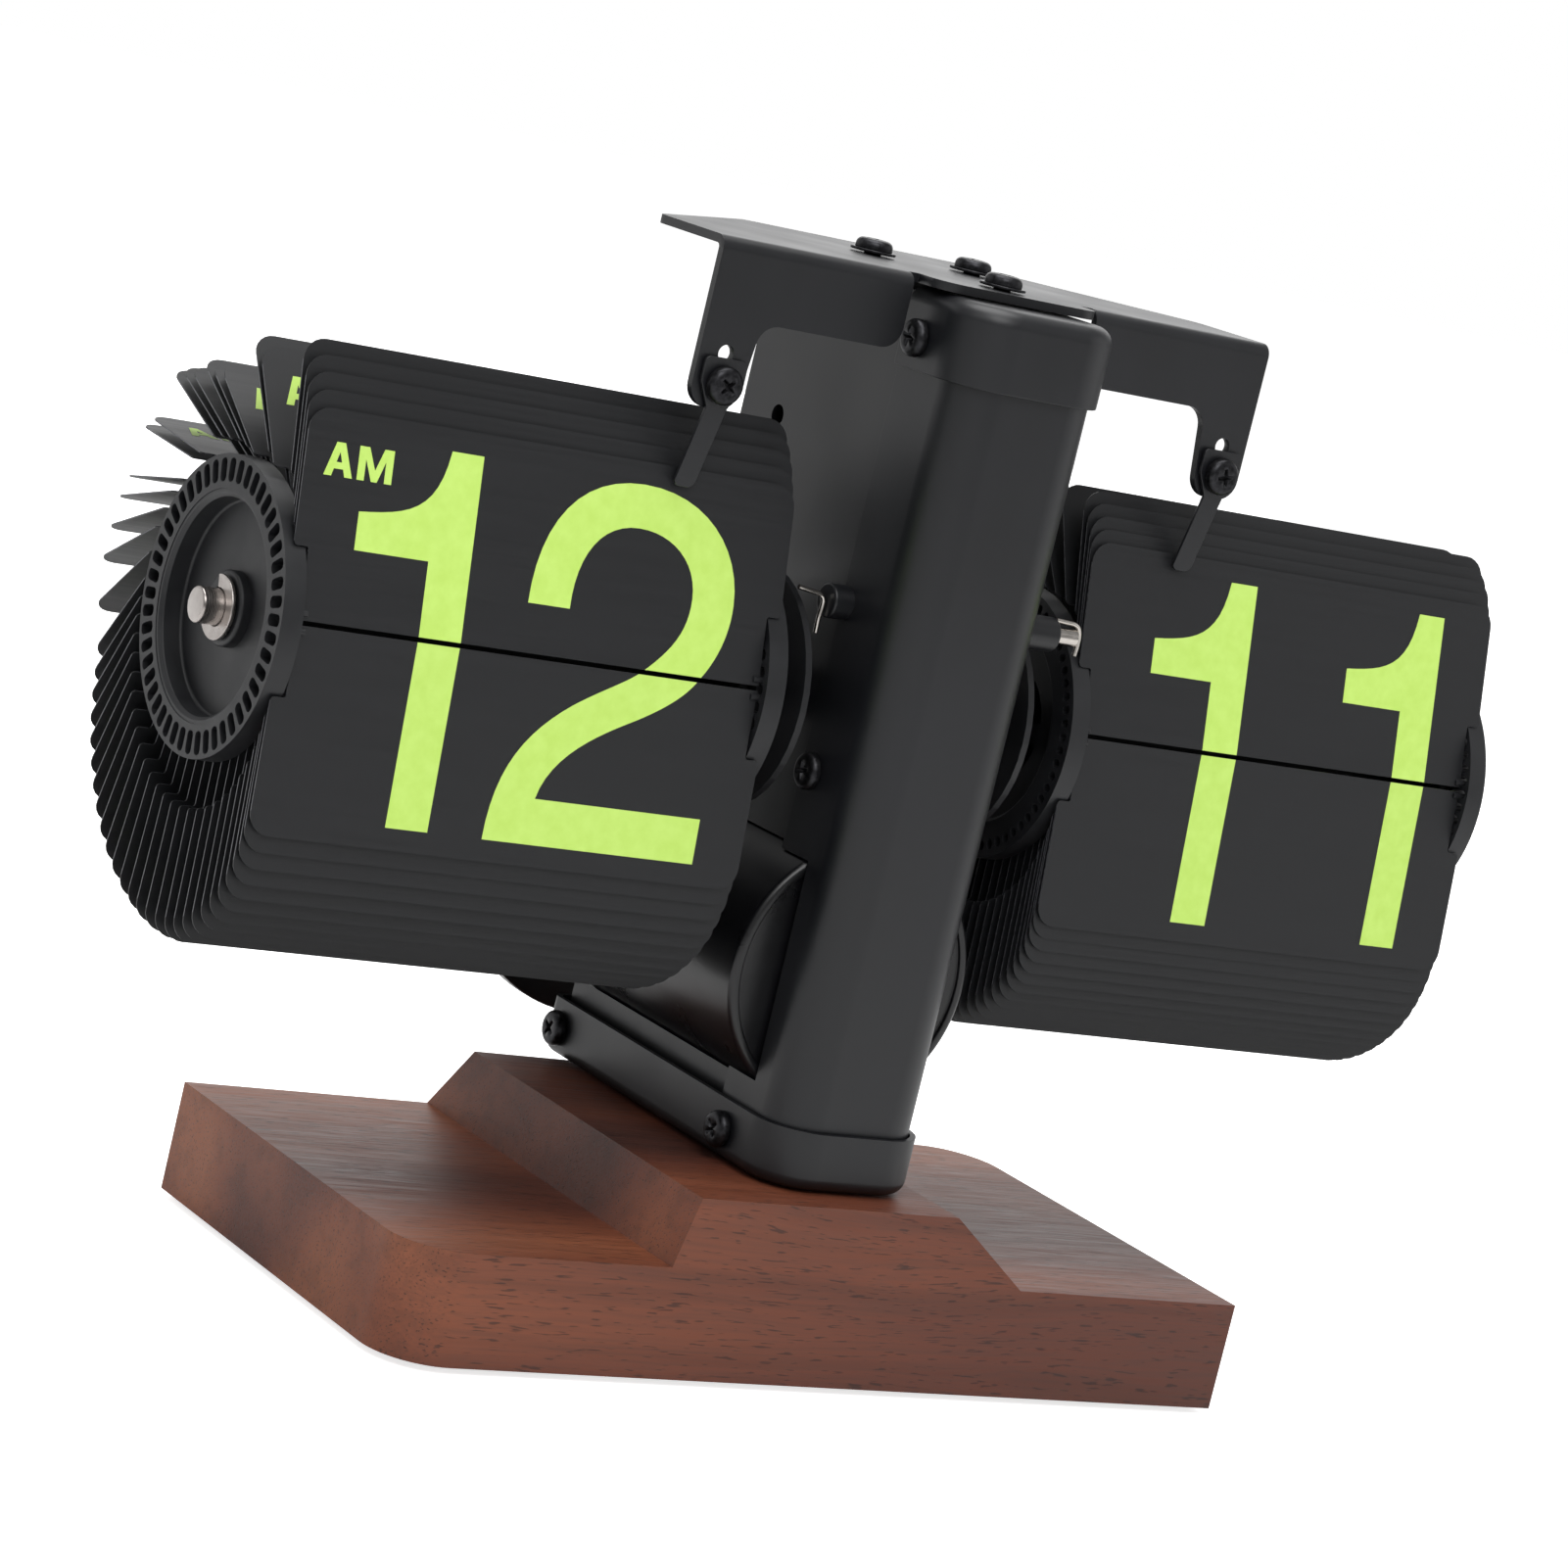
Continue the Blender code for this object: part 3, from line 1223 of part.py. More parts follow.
# Battery housing, cell, contacts and rear closure
def battery():
    front = AXIS_Y - CAN_FRONT
    inner = CAN_RADIUS - CAN_WALL
    back = CAN_LENGTH
    turned(
        "battery_housing",
        [
            (0, CAN_WALL),
            (inner, CAN_WALL),
            (inner, back),
            (CAN_RADIUS, back),
            (CAN_RADIUS, CAN_SOFTENING),
            (CAN_RADIUS - CAN_SOFTENING / 3, CAN_SOFTENING / 3),
            (CAN_RADIUS - CAN_SOFTENING, 0),
            (0, 0),
        ],
        "y",
        GLOSS_PLASTIC,
        (0, front, CAN_Z),
        32,
    )
    cell_front = front + CAN_WALL + GAP * 2 + CONTACT_HEIGHT
    turned(
        "front_contact",
        [
            (0, CONTACT_HEIGHT),
            (CONTACT_RADIUS / 3, CONTACT_HEIGHT),
            (CONTACT_RADIUS, CONTACT_SHEET),
            (CONTACT_RADIUS, 0),
            (0, 0),
        ],
        "y",
        STEEL,
        (0, front + CAN_WALL + GAP, CAN_Z),
        20,
    )
    turned(
        "battery_cell",
        [
            (0, CELL_LENGTH + CELL_NIPPLE_HEIGHT),
            (CELL_NIPPLE_RADIUS, CELL_LENGTH + CELL_NIPPLE_HEIGHT),
            (CELL_NIPPLE_RADIUS, CELL_LENGTH),
            (CELL_RADIUS, CELL_LENGTH),
            (CELL_RADIUS, 0),
            (0, 0),
        ],
        "y",
        CELL_SLEEVE,
        (0, cell_front, CAN_Z),
        32,
    )
    closure_y = front + CAN_LENGTH + GAP
    closure_axis = axis_empty("battery_closure_axis", (0, closure_y, CAN_Z))
    closure = turned(
        "battery_closure",
        [
            (0, CLOSURE_THICKNESS),
            (CLOSURE_RADIUS - CLOSURE_SOFTENING, CLOSURE_THICKNESS),
            (CLOSURE_RADIUS, CLOSURE_THICKNESS - CLOSURE_SOFTENING),
            (CLOSURE_RADIUS, 0),
            (0, 0),
        ],
        "y",
        GLOSS_PLASTIC,
        (0, closure_y, CAN_Z),
        40,
    )
    grip = box(
        "closure_grip",
        (-CLOSURE_GRIP_LENGTH / 2, closure_y + CLOSURE_THICKNESS - OVERRUN, CAN_Z - CLOSURE_GRIP_WIDTH / 2),
        (
            CLOSURE_GRIP_LENGTH / 2,
            closure_y + CLOSURE_THICKNESS + CLOSURE_GRIP_HEIGHT,
            CAN_Z + CLOSURE_GRIP_WIDTH / 2,
        ),
        None,
        parts=False,
    )
    combine(closure, grip, "UNION")
    hang(closure, closure_axis)


# Detent springs
def detent_spring(name, sign):
    """A bent wire from the post's end to the drum's flange."""
    start_x = COVER_HALF - COVER_SHEET - GAP + POST_LENGTH + GAP
    y, z = AXIS_Y - POST_FRONT, AXIS_Z + POST_UP
    route_shares = ((0.0, 0.0), (0.15, 0.0), (0.5, 0.12), (0.8, 0.05), (0.95, -0.35), (1.0, -1.0))
    drawn = bpy.data.curves.new(name, "CURVE")
    drawn.dimensions = "3D"
    drawn.bevel_depth = WIRE_RADIUS
    drawn.bevel_resolution = 1
    drawn.use_fill_caps = True
    spline = drawn.splines.new("POLY")
    spline.points.add(len(route_shares) - 1)
    for point, (out, down) in zip(spline.points, route_shares):
        point.co = (sign * (start_x + out * WIRE_REACH), y, z + down * WIRE_DROP, 1)
    made = bpy.data.objects.new(name, drawn)
    drawn.materials.append(STEEL)
    PARTS.objects.link(made)
    return made


def build():
    wood_base()
    foot_pads()
    shoe_tray = shoe()
    cover = column_cover()
    plates = {side: side_plate(side, sign) for side, sign in SIDES.items()}
    rear_cover()
    cap = top_cap()
    bracket = top_bracket()
    flap_stop("flap_stop_hour", LEFT)
    flap_stop("flap_stop_minute", RIGHT)
    bracket_screws(bracket, cap)
    stop_screws(bracket)
    side_screws(cap, cover, plates, shoe_tray)
    axle()
    hour_axis, minute_axis = drums()
    gear_train(hour_axis, minute_axis)
    battery()
    detent_spring("detent_spring_hour", LEFT)
    detent_spring("detent_spring_minute", RIGHT)


build()
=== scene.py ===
import math

import bmesh
import bpy
from mathutils import Matrix, Vector


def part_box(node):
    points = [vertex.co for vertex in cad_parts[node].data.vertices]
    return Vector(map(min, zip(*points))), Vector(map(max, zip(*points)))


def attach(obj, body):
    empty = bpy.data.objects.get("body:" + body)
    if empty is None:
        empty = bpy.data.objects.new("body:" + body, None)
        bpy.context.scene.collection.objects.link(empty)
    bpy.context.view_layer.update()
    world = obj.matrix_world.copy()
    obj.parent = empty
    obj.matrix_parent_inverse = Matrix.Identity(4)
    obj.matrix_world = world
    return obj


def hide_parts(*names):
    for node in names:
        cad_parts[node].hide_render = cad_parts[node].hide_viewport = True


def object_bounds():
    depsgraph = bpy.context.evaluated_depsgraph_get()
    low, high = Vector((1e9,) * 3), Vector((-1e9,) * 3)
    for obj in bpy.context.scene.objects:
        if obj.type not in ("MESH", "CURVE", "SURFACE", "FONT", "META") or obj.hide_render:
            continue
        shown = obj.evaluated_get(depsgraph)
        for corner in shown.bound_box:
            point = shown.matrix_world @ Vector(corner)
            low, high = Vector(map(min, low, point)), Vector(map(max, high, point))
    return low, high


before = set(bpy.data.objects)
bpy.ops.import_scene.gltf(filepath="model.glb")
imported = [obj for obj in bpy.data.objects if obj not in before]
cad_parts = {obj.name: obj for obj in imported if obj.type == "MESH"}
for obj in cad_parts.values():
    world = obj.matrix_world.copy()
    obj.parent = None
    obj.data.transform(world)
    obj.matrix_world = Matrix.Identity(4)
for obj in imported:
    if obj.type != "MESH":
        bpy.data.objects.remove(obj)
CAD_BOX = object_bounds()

# Flip clock: fine leaves, printed numerals, pressed sheet and an oiled walnut plinth

MM = 0.001
TURN = 2 * math.pi
HALF_TURN = math.pi
LEFT, RIGHT = -1, 1
SIDES = {"left": LEFT, "right": RIGHT}
DRUMS = {"hour": LEFT, "minute": RIGHT}

# Sheet metal and pressings
GAP = 0.3 * MM
COVER_SHEET = 1.0 * MM
PLATE_SHEET = 1.0 * MM
PRESSED_SHEET = 0.8 * MM
BRACKET_SHEET = 1.2 * MM
NOSE_RADIUS = 6.5 * MM
PRESSED_EDGE = 2.0 * MM
CAP_EDGE = 2.4 * MM
SHOE_BACK_RADIUS = 2.0 * MM
SHEET_EASE = 0.22 * MM

# Leaves and wheels
HINGE_RADIUS = 18.0 * MM
LEAF_REACH = 26.0 * MM
LEAF_SHEET = 0.2 * MM
LEAF_AIR = 0.03 * MM
LEAF_DEPTH = 0.4 * MM
LEAF_CORNER = 3.0 * MM
LEAF_NOTCH = 2.1 * MM
LEAF_NOTCH_REACH = 8.4 * MM
LEAF_SLIT = 0.65 * MM
LEAF_PIN = 0.45 * MM
PAGE_RISE = math.radians(8.0)
LEAVES = {"hour": 48, "minute": 60}
INK = 0.02 * MM

# How far a leaf leans back from upright, against the turn of the drum from the upper page
LEAN_BEHIND_DEG = ((151.0, 142.0), (237.0, 174.0), (267.0, 181.0), (320.0, 184.5), (360.0, 185.6))
LEAN_BY_TURN_DEG = {
    "minute": (
        (0.0, 11.3), (12.0, 12.5), (24.0, 15.0), (38.0, 40.0), (55.0, 66.0),
        (74.0, 77.0), (94.0, 94.5), (105.0, 107.0), (113.0, 111.0), (129.0, 121.0), *LEAN_BEHIND_DEG,
    ),
    "hour": (
        (0.0, 11.3), (30.0, 13.6), (37.5, 38.4), (45.0, 40.0), (52.5, 59.0), (60.0, 62.0), (67.5, 63.4),
        (75.0, 68.2), (90.0, 70.6), (97.5, 85.2), (105.0, 86.5), (112.5, 100.5), (120.0, 104.5),
        (127.5, 111.0), (135.0, 117.5), *LEAN_BEHIND_DEG,
    ),
}

# Places read from the frame
AXLE_LOW, AXLE_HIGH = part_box("axle")
AXIS = Vector((0, (AXLE_LOW.y + AXLE_HIGH.y) / 2, (AXLE_LOW.z + AXLE_HIGH.z) / 2))
COVER_LOW, COVER_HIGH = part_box("column_cover")
PAGE_LOW, PAGE_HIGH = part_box("minute_page_upper")
CAN_LOW, CAN_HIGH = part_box("battery_housing")
CAN_AXIS = Vector((0, CAN_LOW.y, (CAN_LOW.z + CAN_HIGH.z) / 2))
CAN_RADIUS = (CAN_HIGH.z - CAN_LOW.z) / 2
LEAF_INNER, LEAF_OUTER = PAGE_LOW.x, PAGE_HIGH.x


# Materials: where most of a noise's values lie
NOISE_LOW, NOISE_HIGH = 0.3, 0.7


def linear(hex_colour):
    """A display colour as the linear value that a shader takes."""
    shares = [int(hex_colour[i:i + 2], 16) / 255 for i in (1, 3, 5)]
    return (*(((c + 0.055) / 1.055) ** 2.4 if c > 0.04045 else c / 12.92 for c in shares), 1.0)


def add_node(tree, kind, settings=None, links=None):
    """Adds a node with its settings and what feeds its sockets. Stops are a colour ramp's."""
    made = tree.nodes.new(kind)
    for key, value in (settings or {}).items():
        if key == "stops":
            ramp = made.color_ramp.elements
            while len(ramp) < len(value):
                ramp.new(1.0)
            for stop, (place, colour) in zip(ramp, value):
                stop.position = place
                stop.color = linear(colour) if isinstance(colour, str) else (colour, colour, colour, 1.0)
        elif isinstance(key, int) or key in made.inputs:
            made.inputs[key].default_value = value
        else:
            setattr(made, key, value)
    for key, source in (links or {}).items():
        tree.links.new(source, made.inputs[key])
    return made


def blank(name, colour, metallic=0.0):
    """A new material: its tree, its shader, and the place in metres that its patterns are drawn from."""
    made = bpy.data.materials.new(name)
    made.use_nodes = True
    made.diffuse_color = linear(colour)
    tree = made.node_tree
    shader = tree.nodes["Principled BSDF"]
    shader.inputs["Metallic"].default_value = metallic
    return made, tree, shader, add_node(tree, "ShaderNodeTexCoord").outputs["Object"]


def finish(name, tones, roughness, metallic, patterns, relief=None):
    """
    A material whose tone, and gloss where roughness is a pair, drift with its first pattern.
    A pattern is a noise with spots of (x, y, z) mm, and its detail. The last one stands in relief, which is
    its depth in mm and its strength.
    """
    made, tree, shader, place = blank(name, tones[0], metallic)
    noises = []
    for size_mm, detail in patterns:
        scale = tuple(1 / (side * MM) for side in size_mm)
        sized = add_node(tree, "ShaderNodeMapping", {"Scale": scale}, {"Vector": place})
        settings = {"Scale": 1.0, "Detail": detail}
        noise = add_node(tree, "ShaderNodeTexNoise", settings, {"Vector": sized.outputs["Vector"]})
        noises.append(noise.outputs[0])
    settings = {"stops": [(NOISE_LOW, tones[0]), (NOISE_HIGH, tones[1])]}
    tone = add_node(tree, "ShaderNodeValToRGB", settings, {"Fac": noises[0]})
    tree.links.new(tone.outputs["Color"], shader.inputs["Base Color"])
    if isinstance(roughness, tuple):
        low, high = roughness
        settings = {"From Min": NOISE_LOW, "From Max": NOISE_HIGH, "To Min": low, "To Max": high}
        gloss = add_node(tree, "ShaderNodeMapRange", settings, {"Value": noises[0]})
        tree.links.new(gloss.outputs[0], shader.inputs["Roughness"])
    else:
        shader.inputs["Roughness"].default_value = roughness
    if relief:
        settings = {"Distance": relief[0] * MM, "Strength": relief[1]}
        bump = add_node(tree, "ShaderNodeBump", settings, {"Height": noises[-1]})
        tree.links.new(bump.outputs["Normal"], shader.inputs["Normal"])
    return made


def satin_black_powder_coat():
    """Powder coat baked on steel: a satin black whose orange peel of half a millimetre breaks up light."""
    patterns = [((14, 14, 22), 2.0), ((0.5, 0.5, 0.5), 3.0)]
    return finish("satin_black_powder_coat", ("#111215", "#15161A"), (0.36, 0.44), 0.0, patterns, (0.012, 0.5))


def black_oxide_steel():
    """Black oxide on turned screws: dark metal that still catches a small bright edge."""
    mottle = ((0.6, 0.6, 0.6), 3.0)
    return finish("black_oxide_steel", ("#202022", "#37373A"), (0.28, 0.42), 0.85, [mottle])


def moulded_black_plastic():
    """Moulded ABS, duller than the painted steel. Its eroded grain of 0.1 mm is drawn coarser to show."""
    patterns = [((5, 5, 5), 2.0), ((0.3, 0.3, 0.3), 2.0)]
    return finish("moulded_black_plastic", ("#121316", "#191A1D"), (0.44, 0.54), 0.0, patterns, (0.01, 0.5))


def glossy_black_plastic():
    """Polished ABS of the battery housing: a deep black that mirrors the light softly."""
    haze = ((9, 9, 9), 3.0)
    return finish("glossy_black_plastic", ("#0A0A0C", "#101013"), (0.26, 0.36), 0.0, [haze])


def black_leaf_sheet():
    """Calendered PVC sheet: a dry charcoal satin, faintly streaked. Its grain is drawn coarser to show."""
    patterns = [((30, 0.8, 0.8), 3.0), ((0.4, 0.4, 0.4), 2.0)]
    return finish("black_leaf_sheet", ("#0F1013", "#131417"), (0.46, 0.54), 0.0, patterns, (0.006, 0.4))


def leaf_edge_painted_highlight():
    """The guillotined rim of the sheet: the same PVC, painted paler as a highlight where the cut edge catches
    the light.
    """
    return finish("leaf_edge_painted_highlight", ("#36373A", "#5A5B60"), 0.42, 0.0, [((4, 0.5, 0.5), 3.0)])


def lime_screen_ink():
    """Screen-printed ink: flat lime green, uneven from its mesh, whose threads are drawn coarser to show."""
    pull = ((2.0, 2.0, 2.0), 3.0)
    return finish("lime_screen_ink", ("#C0E568", "#C8EC74"), 0.6, 0.0, [pull], (0.01, 0.3))


def turned_steel():
    """Turned steel of the axle: a warm grey with lathe rings, drawn coarser than their feed of 0.05 mm."""
    rings = ((0.12, 3, 3), 2.0)
    return finish("turned_steel", ("#A39C98", "#C2BCB8"), (0.22, 0.36), 1.0, [rings], (0.006, 0.4))


def spring_steel():
    """Drawn spring wire: bright and almost mirror smooth, with the die's lines drawn coarser to show."""
    return finish("spring_steel", ("#BDB7B0", "#D4CFC9"), (0.12, 0.22), 1.0, [((1.5, 0.2, 0.2), 2.0)])


def cut_brass():
    """Cut brass of the gears, with tool marks across the faces, drawn coarser to show."""
    return finish("cut_brass", ("#A87F38", "#C79C52"), (0.24, 0.38), 1.0, [((2.0, 0.15, 2.0), 2.0)])


def grey_rubber():
    """Die-cut rubber of the feet: matt, with an open grain of half a millimetre."""
    return finish("grey_rubber", ("#9C968E", "#B2ACA4"), 0.85, 0.0, [((0.5, 0.5, 0.5), 4.0)], (0.03, 0.6))


def cell_wrap():
    """The cell's shrink sleeve: thin dark film with soft ripples."""
    return finish("cell_wrap", ("#43464B", "#52555A"), 0.3, 0.0, [((3, 9, 3), 2.0)], (0.05, 0.5))


# Spots of the walnut along and across the grain in mm, with their detail and roughness
WALNUT_DRIFT_MM, WALNUT_DRIFT = (75, 16, 16), 0.007
WALNUT_PATTERNS = {
    "bands": ((-420, 30, 30), 1.0, 0.45),
    "streaks": ((130, 3.4, 3.0), 2.0, 0.5),
    "fibres": ((22, 0.4, 0.4), 2.0, 0.5),
    "pores": ((3.4, 0.32, 0.32), 1.0, 0.5),
}
# What each pattern gives the eye: heartwood from dark to red-brown, and what is multiplied over it
WALNUT_STOPS = {
    "bands": [(0.32, "#4C261A"), (0.46, "#613120"), (0.56, "#7D442B"), (0.68, "#925537")],
    "streaks": [(0.34, 0.8), (0.54, 1.0)],
    "fibres": [(0.3, 0.8), (0.6, 1.0)],
    "pores": [(0.31, 0.42), (0.38, 1.0)],
}


def oiled_walnut():
    """Planed, oiled walnut: red-brown bands, dark streaks along the board, fine fibres and open pores."""
    made, tree, shader, place = blank("oiled_walnut", "#7A4B3B")
    noises, layers = {}, {}
    for word, (size_mm, detail, rough) in {"drift": (WALNUT_DRIFT_MM, 2.0, 0.5), **WALNUT_PATTERNS}.items():
        scale = tuple(1 / (side * MM) for side in size_mm)
        sized = add_node(tree, "ShaderNodeMapping", {"Scale": scale}, {"Vector": place})
        settings = {"Scale": 1.0, "Detail": detail, "Roughness": rough}
        noise = add_node(tree, "ShaderNodeTexNoise", settings, {"Vector": sized.outputs["Vector"]})
        if word == "drift":
            settings = {"operation": "SCALE", "Scale": WALNUT_DRIFT}
            push = add_node(tree, "ShaderNodeVectorMath", settings, {0: noise.outputs["Color"]})
            links = {0: place, 1: push.outputs["Vector"]}
            place = add_node(tree, "ShaderNodeVectorMath", {"operation": "ADD"}, links).outputs["Vector"]
            continue
        noises[word] = noise.outputs[0]
        layer = add_node(tree, "ShaderNodeValToRGB", {"stops": WALNUT_STOPS[word]}, {"Fac": noises[word]})
        layers[word] = layer.outputs["Color"]
    mixed = layers["bands"]
    for word in ("streaks", "fibres", "pores"):
        settings = {"data_type": "RGBA", "blend_type": "MULTIPLY", 0: 1.0}
        mixed = add_node(tree, "ShaderNodeMix", settings, {6: mixed, 7: layers[word]}).outputs[2]
    tree.links.new(mixed, shader.inputs["Base Color"])
    settings = {"From Min": NOISE_LOW, "From Max": NOISE_HIGH, "To Min": 0.42, "To Max": 0.6}
    gloss = add_node(tree, "ShaderNodeMapRange", settings, {"Value": noises["fibres"]})
    tree.links.new(gloss.outputs[0], shader.inputs["Roughness"])
    settings = {"Distance": 0.05 * MM, "Strength": 0.5}
    bump = add_node(tree, "ShaderNodeBump", settings, {"Height": layers["pores"]})
    tree.links.new(bump.outputs["Normal"], shader.inputs["Normal"])
    return made


# Outlines in a plane, as lists of points
def rounded(corners, steps=9):
    """Points of a closed outline whose corners (x, y, radius) are rounded."""
    points = []
    for index, (x, y, radius) in enumerate(corners):
        if radius == 0:
            points.append((x, y))
            continue
        before, after = corners[index - 1], corners[(index + 1) % len(corners)]
        a = math.atan2(before[1] - y, before[0] - x)
        b = math.atan2(after[1] - y, after[0] - x)
        half = ((b - a + HALF_TURN) % TURN - HALF_TURN) / 2
        reach = radius / abs(math.sin(half))
        middle = a + half
        centre = (x + reach * math.cos(middle), y + reach * math.sin(middle))
        sweep = math.copysign(HALF_TURN / 2, half) - half
        for step in range(steps):
            angle = middle + HALF_TURN + (1 - 2 * step / (steps - 1)) * sweep
            points.append((centre[0] + radius * math.cos(angle), centre[1] + radius * math.sin(angle)))
    return points


def circle(radius, steps=64, centre=(0, 0)):
    turns = [TURN * step / steps for step in range(steps)]
    return [(centre[0] + radius * math.cos(a), centre[1] + radius * math.sin(a)) for a in turns]


def traced(path, steps=12):
    """Points along a path: pairs are corners, and sixes are curves with two handles and an end."""
    points = [Vector(path[0])]
    for leg in path[1:]:
        if len(leg) == 2:
            points.append(Vector(leg))
            continue
        a, b, c, d = points[-1], Vector(leg[0:2]), Vector(leg[2:4]), Vector(leg[4:6])
        for step in range(1, steps + 1):
            t = step / steps
            points.append(a * (1 - t) ** 3 + b * 3 * t * (1 - t) ** 2 + c * 3 * t * t * (1 - t) + d * t ** 3)
    return points


def stroked(path, width):
    """The outline of a stroke of even width along a path."""
    line = traced(path)
    left, right = [], []
    for index, point in enumerate(line):
        before = (point - line[index - 1]).normalized() if index else None
        after = (line[index + 1] - point).normalized() if index + 1 < len(line) else None
        way = ((before or after) + (after or before)).normalized()
        across = Vector((-way.y, way.x))
        reach = width / 2 / max(0.5, across.dot(Vector((-(after or before).y, (after or before).x))))
        left.append(point + across * reach)
        right.append(point - across * reach)
    return left + right[::-1]


# Planes: local x and y of an outline, and the direction it is thickened in
FLAT = Matrix.Identity(4)
FACING_Y = Matrix(((1, 0, 0), (0, 0, -1), (0, 1, 0))).to_4x4()
FACING_X = Matrix(((0, 0, 1), (1, 0, 0), (0, 1, 0))).to_4x4()


# Mesh code
def plate_mesh(outlines, thickness, plane=FLAT, start=0.0):
    """A flat shape with holes, thickened from start along the plane's normal."""
    drawn = bpy.data.curves.new("outline", "CURVE")
    drawn.dimensions = "2D"
    drawn.fill_mode = "BOTH"
    drawn.extrude = thickness / 2
    for outline in outlines:
        spline = drawn.splines.new("POLY")
        spline.points.add(len(outline) - 1)
        for point, (x, y) in zip(spline.points, outline):
            point.co = (x, y, 0, 1)
        spline.use_cyclic_u = True
    guide = bpy.data.objects.new("outline", drawn)
    mesh = bpy.data.meshes.new_from_object(guide)
    bpy.data.objects.remove(guide)
    bpy.data.curves.remove(drawn)
    mesh.transform(plane @ Matrix.Translation((0, 0, start + thickness / 2)))
    work = bmesh.new()
    work.from_mesh(mesh)
    bmesh.ops.remove_doubles(work, verts=work.verts, dist=MM / 10000)
    bmesh.ops.dissolve_limit(work, angle_limit=math.radians(0.1), verts=work.verts, edges=work.edges)
    bmesh.ops.recalc_face_normals(work, faces=work.faces)
    work.to_mesh(mesh)
    work.free()
    return mesh


def skin_mesh(rings, closed_ends=True):
    """A skin through rings of as many points each. A ring of one point closes its end."""
    mesh = bpy.data.meshes.new("skin")
    work = bmesh.new()
    levels = [[work.verts.new(point) for point in ring] for ring in rings]
    for low, high in zip(levels, levels[1:]):
        count = max(len(low), len(high))
        for index in range(count):
            after = (index + 1) % count
            if len(low) == 1:
                work.faces.new((low[0], high[after], high[index]))
            elif len(high) == 1:
                work.faces.new((low[index], low[after], high[0]))
            else:
                work.faces.new((low[index], low[after], high[after], high[index]))
    if closed_ends:
        for level in (levels[0], levels[-1]):
            if len(level) > 1:
                work.faces.new(level)
    bmesh.ops.recalc_face_normals(work, faces=work.faces)
    work.to_mesh(mesh)
    work.free()
    return mesh


def turned_mesh(profile, axis, place, steps=72):
    """A turned solid of points (radius, height) along an axis from place. A hollow one closes on itself."""
    rings = []
    for radius, height in profile:
        if radius == 0:
            rings.append([(0, 0, height)])
        else:
            rings.append([(x, y, height) for x, y in circle(radius, steps)])
    hollow = profile[0][0] > 0
    if hollow:
        rings.append(rings[0])
    mesh = skin_mesh(rings, closed_ends=False)
    turn = Vector(axis).to_track_quat("Z", "Y").to_matrix().to_4x4()
    mesh.transform(Matrix.Translation(place) @ turn)
    if hollow:
        work = bmesh.new()
        work.from_mesh(mesh)
        bmesh.ops.remove_doubles(work, verts=work.verts, dist=MM / 10000)
        bmesh.ops.recalc_face_normals(work, faces=work.faces)
        work.to_mesh(mesh)
        work.free()
    return mesh


def joined(meshes):
    """One mesh that holds several."""
    work = bmesh.new()
    for mesh in meshes:
        work.from_mesh(mesh)
        bpy.data.meshes.remove(mesh)
    whole = bpy.data.meshes.new("joined")
    work.to_mesh(whole)
    work.free()
    return whole


def shaped(name, mesh, ease=0.0, segments=2, crease=32):
    """A new object with softly shaded faces and, where stated, eased edges."""
    made = bpy.data.objects.new(name, mesh)
    bpy.context.scene.collection.objects.link(made)
    mesh.name = name
    if ease:
        bevel = made.modifiers.new("eased edges", "BEVEL")
        bevel.width = ease
        bevel.segments = segments
        bevel.limit_method = "ANGLE"
        bevel.angle_limit = math.radians(crease)
        bevel.use_clamp_overlap = True
        settle(made)
    made.data.shade_smooth()
    made.data.set_sharp_from_angle(angle=math.radians(60 if ease else crease))
    made.modifiers.new("even shading", "WEIGHTED_NORMAL").keep_sharp = True
    return made


def settle(made):
    """Makes an object's modifiers part of its mesh."""
    bpy.context.view_layer.update()
    seen = made.evaluated_get(bpy.context.evaluated_depsgraph_get())
    mesh = bpy.data.meshes.new_from_object(seen)
    made.modifiers.clear()
    made.data = mesh
    return made


def boolean(target, tools, operation="DIFFERENCE"):
    """Cuts or joins an object by meshes, which are used up."""
    for mesh in tools:
        tool = bpy.data.objects.new("tool", mesh)
        bpy.context.scene.collection.objects.link(tool)
        modifier = target.modifiers.new("tool", "BOOLEAN")
        modifier.operation = operation
        modifier.solver = "EXACT"
        modifier.object = tool
        settle(target)
        bpy.data.objects.remove(tool)
    return target


def raw(mesh):
    made = bpy.data.objects.new("blank", mesh)
    bpy.context.scene.collection.objects.link(made)
    return made


def taken(made):
    """The mesh of a blank whose object isn't needed any more."""
    mesh = made.data
    bpy.data.objects.remove(made)
    return mesh


def placed(made, material, body="stand", nodes=()):
    """Gives a piece its finish, its body, and the solids that it stands for."""
    if not made.data.materials:
        made.data.materials.append(material)
    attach(made, body)
    if nodes:
        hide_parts(*nodes)
    return made


PAINT = satin_black_powder_coat()
SCREW = black_oxide_steel()
PLASTIC = moulded_black_plastic()
GLOSS = glossy_black_plastic()
LEAF = black_leaf_sheet()
# The leaves' cut rim: the sheet's colour painted paler, a painted highlight along the edge
LEAF_EDGE_HIGHLIGHT = leaf_edge_painted_highlight()
LIME = lime_screen_ink()
STEEL = turned_steel()
WIRE = spring_steel()
BRASS = cut_brass()
RUBBER = grey_rubber()
WRAP = cell_wrap()
WALNUT = oiled_walnut()


# Plinth
BASE_CORNER = 9.0 * MM
BASE_EASE = 0.7 * MM
RIDGE_HEIGHT = 9.8 * MM
RIDGE_LEFT_FOOT = 28.4 * MM
RIDGE_RIGHT_FOOT = 29.2 * MM
RIDGE_LEFT_TOP = 26.2 * MM
RIDGE_RIGHT_TOP = 15.8 * MM
RIDGE_BACK_SLOPE = 6.0 * MM


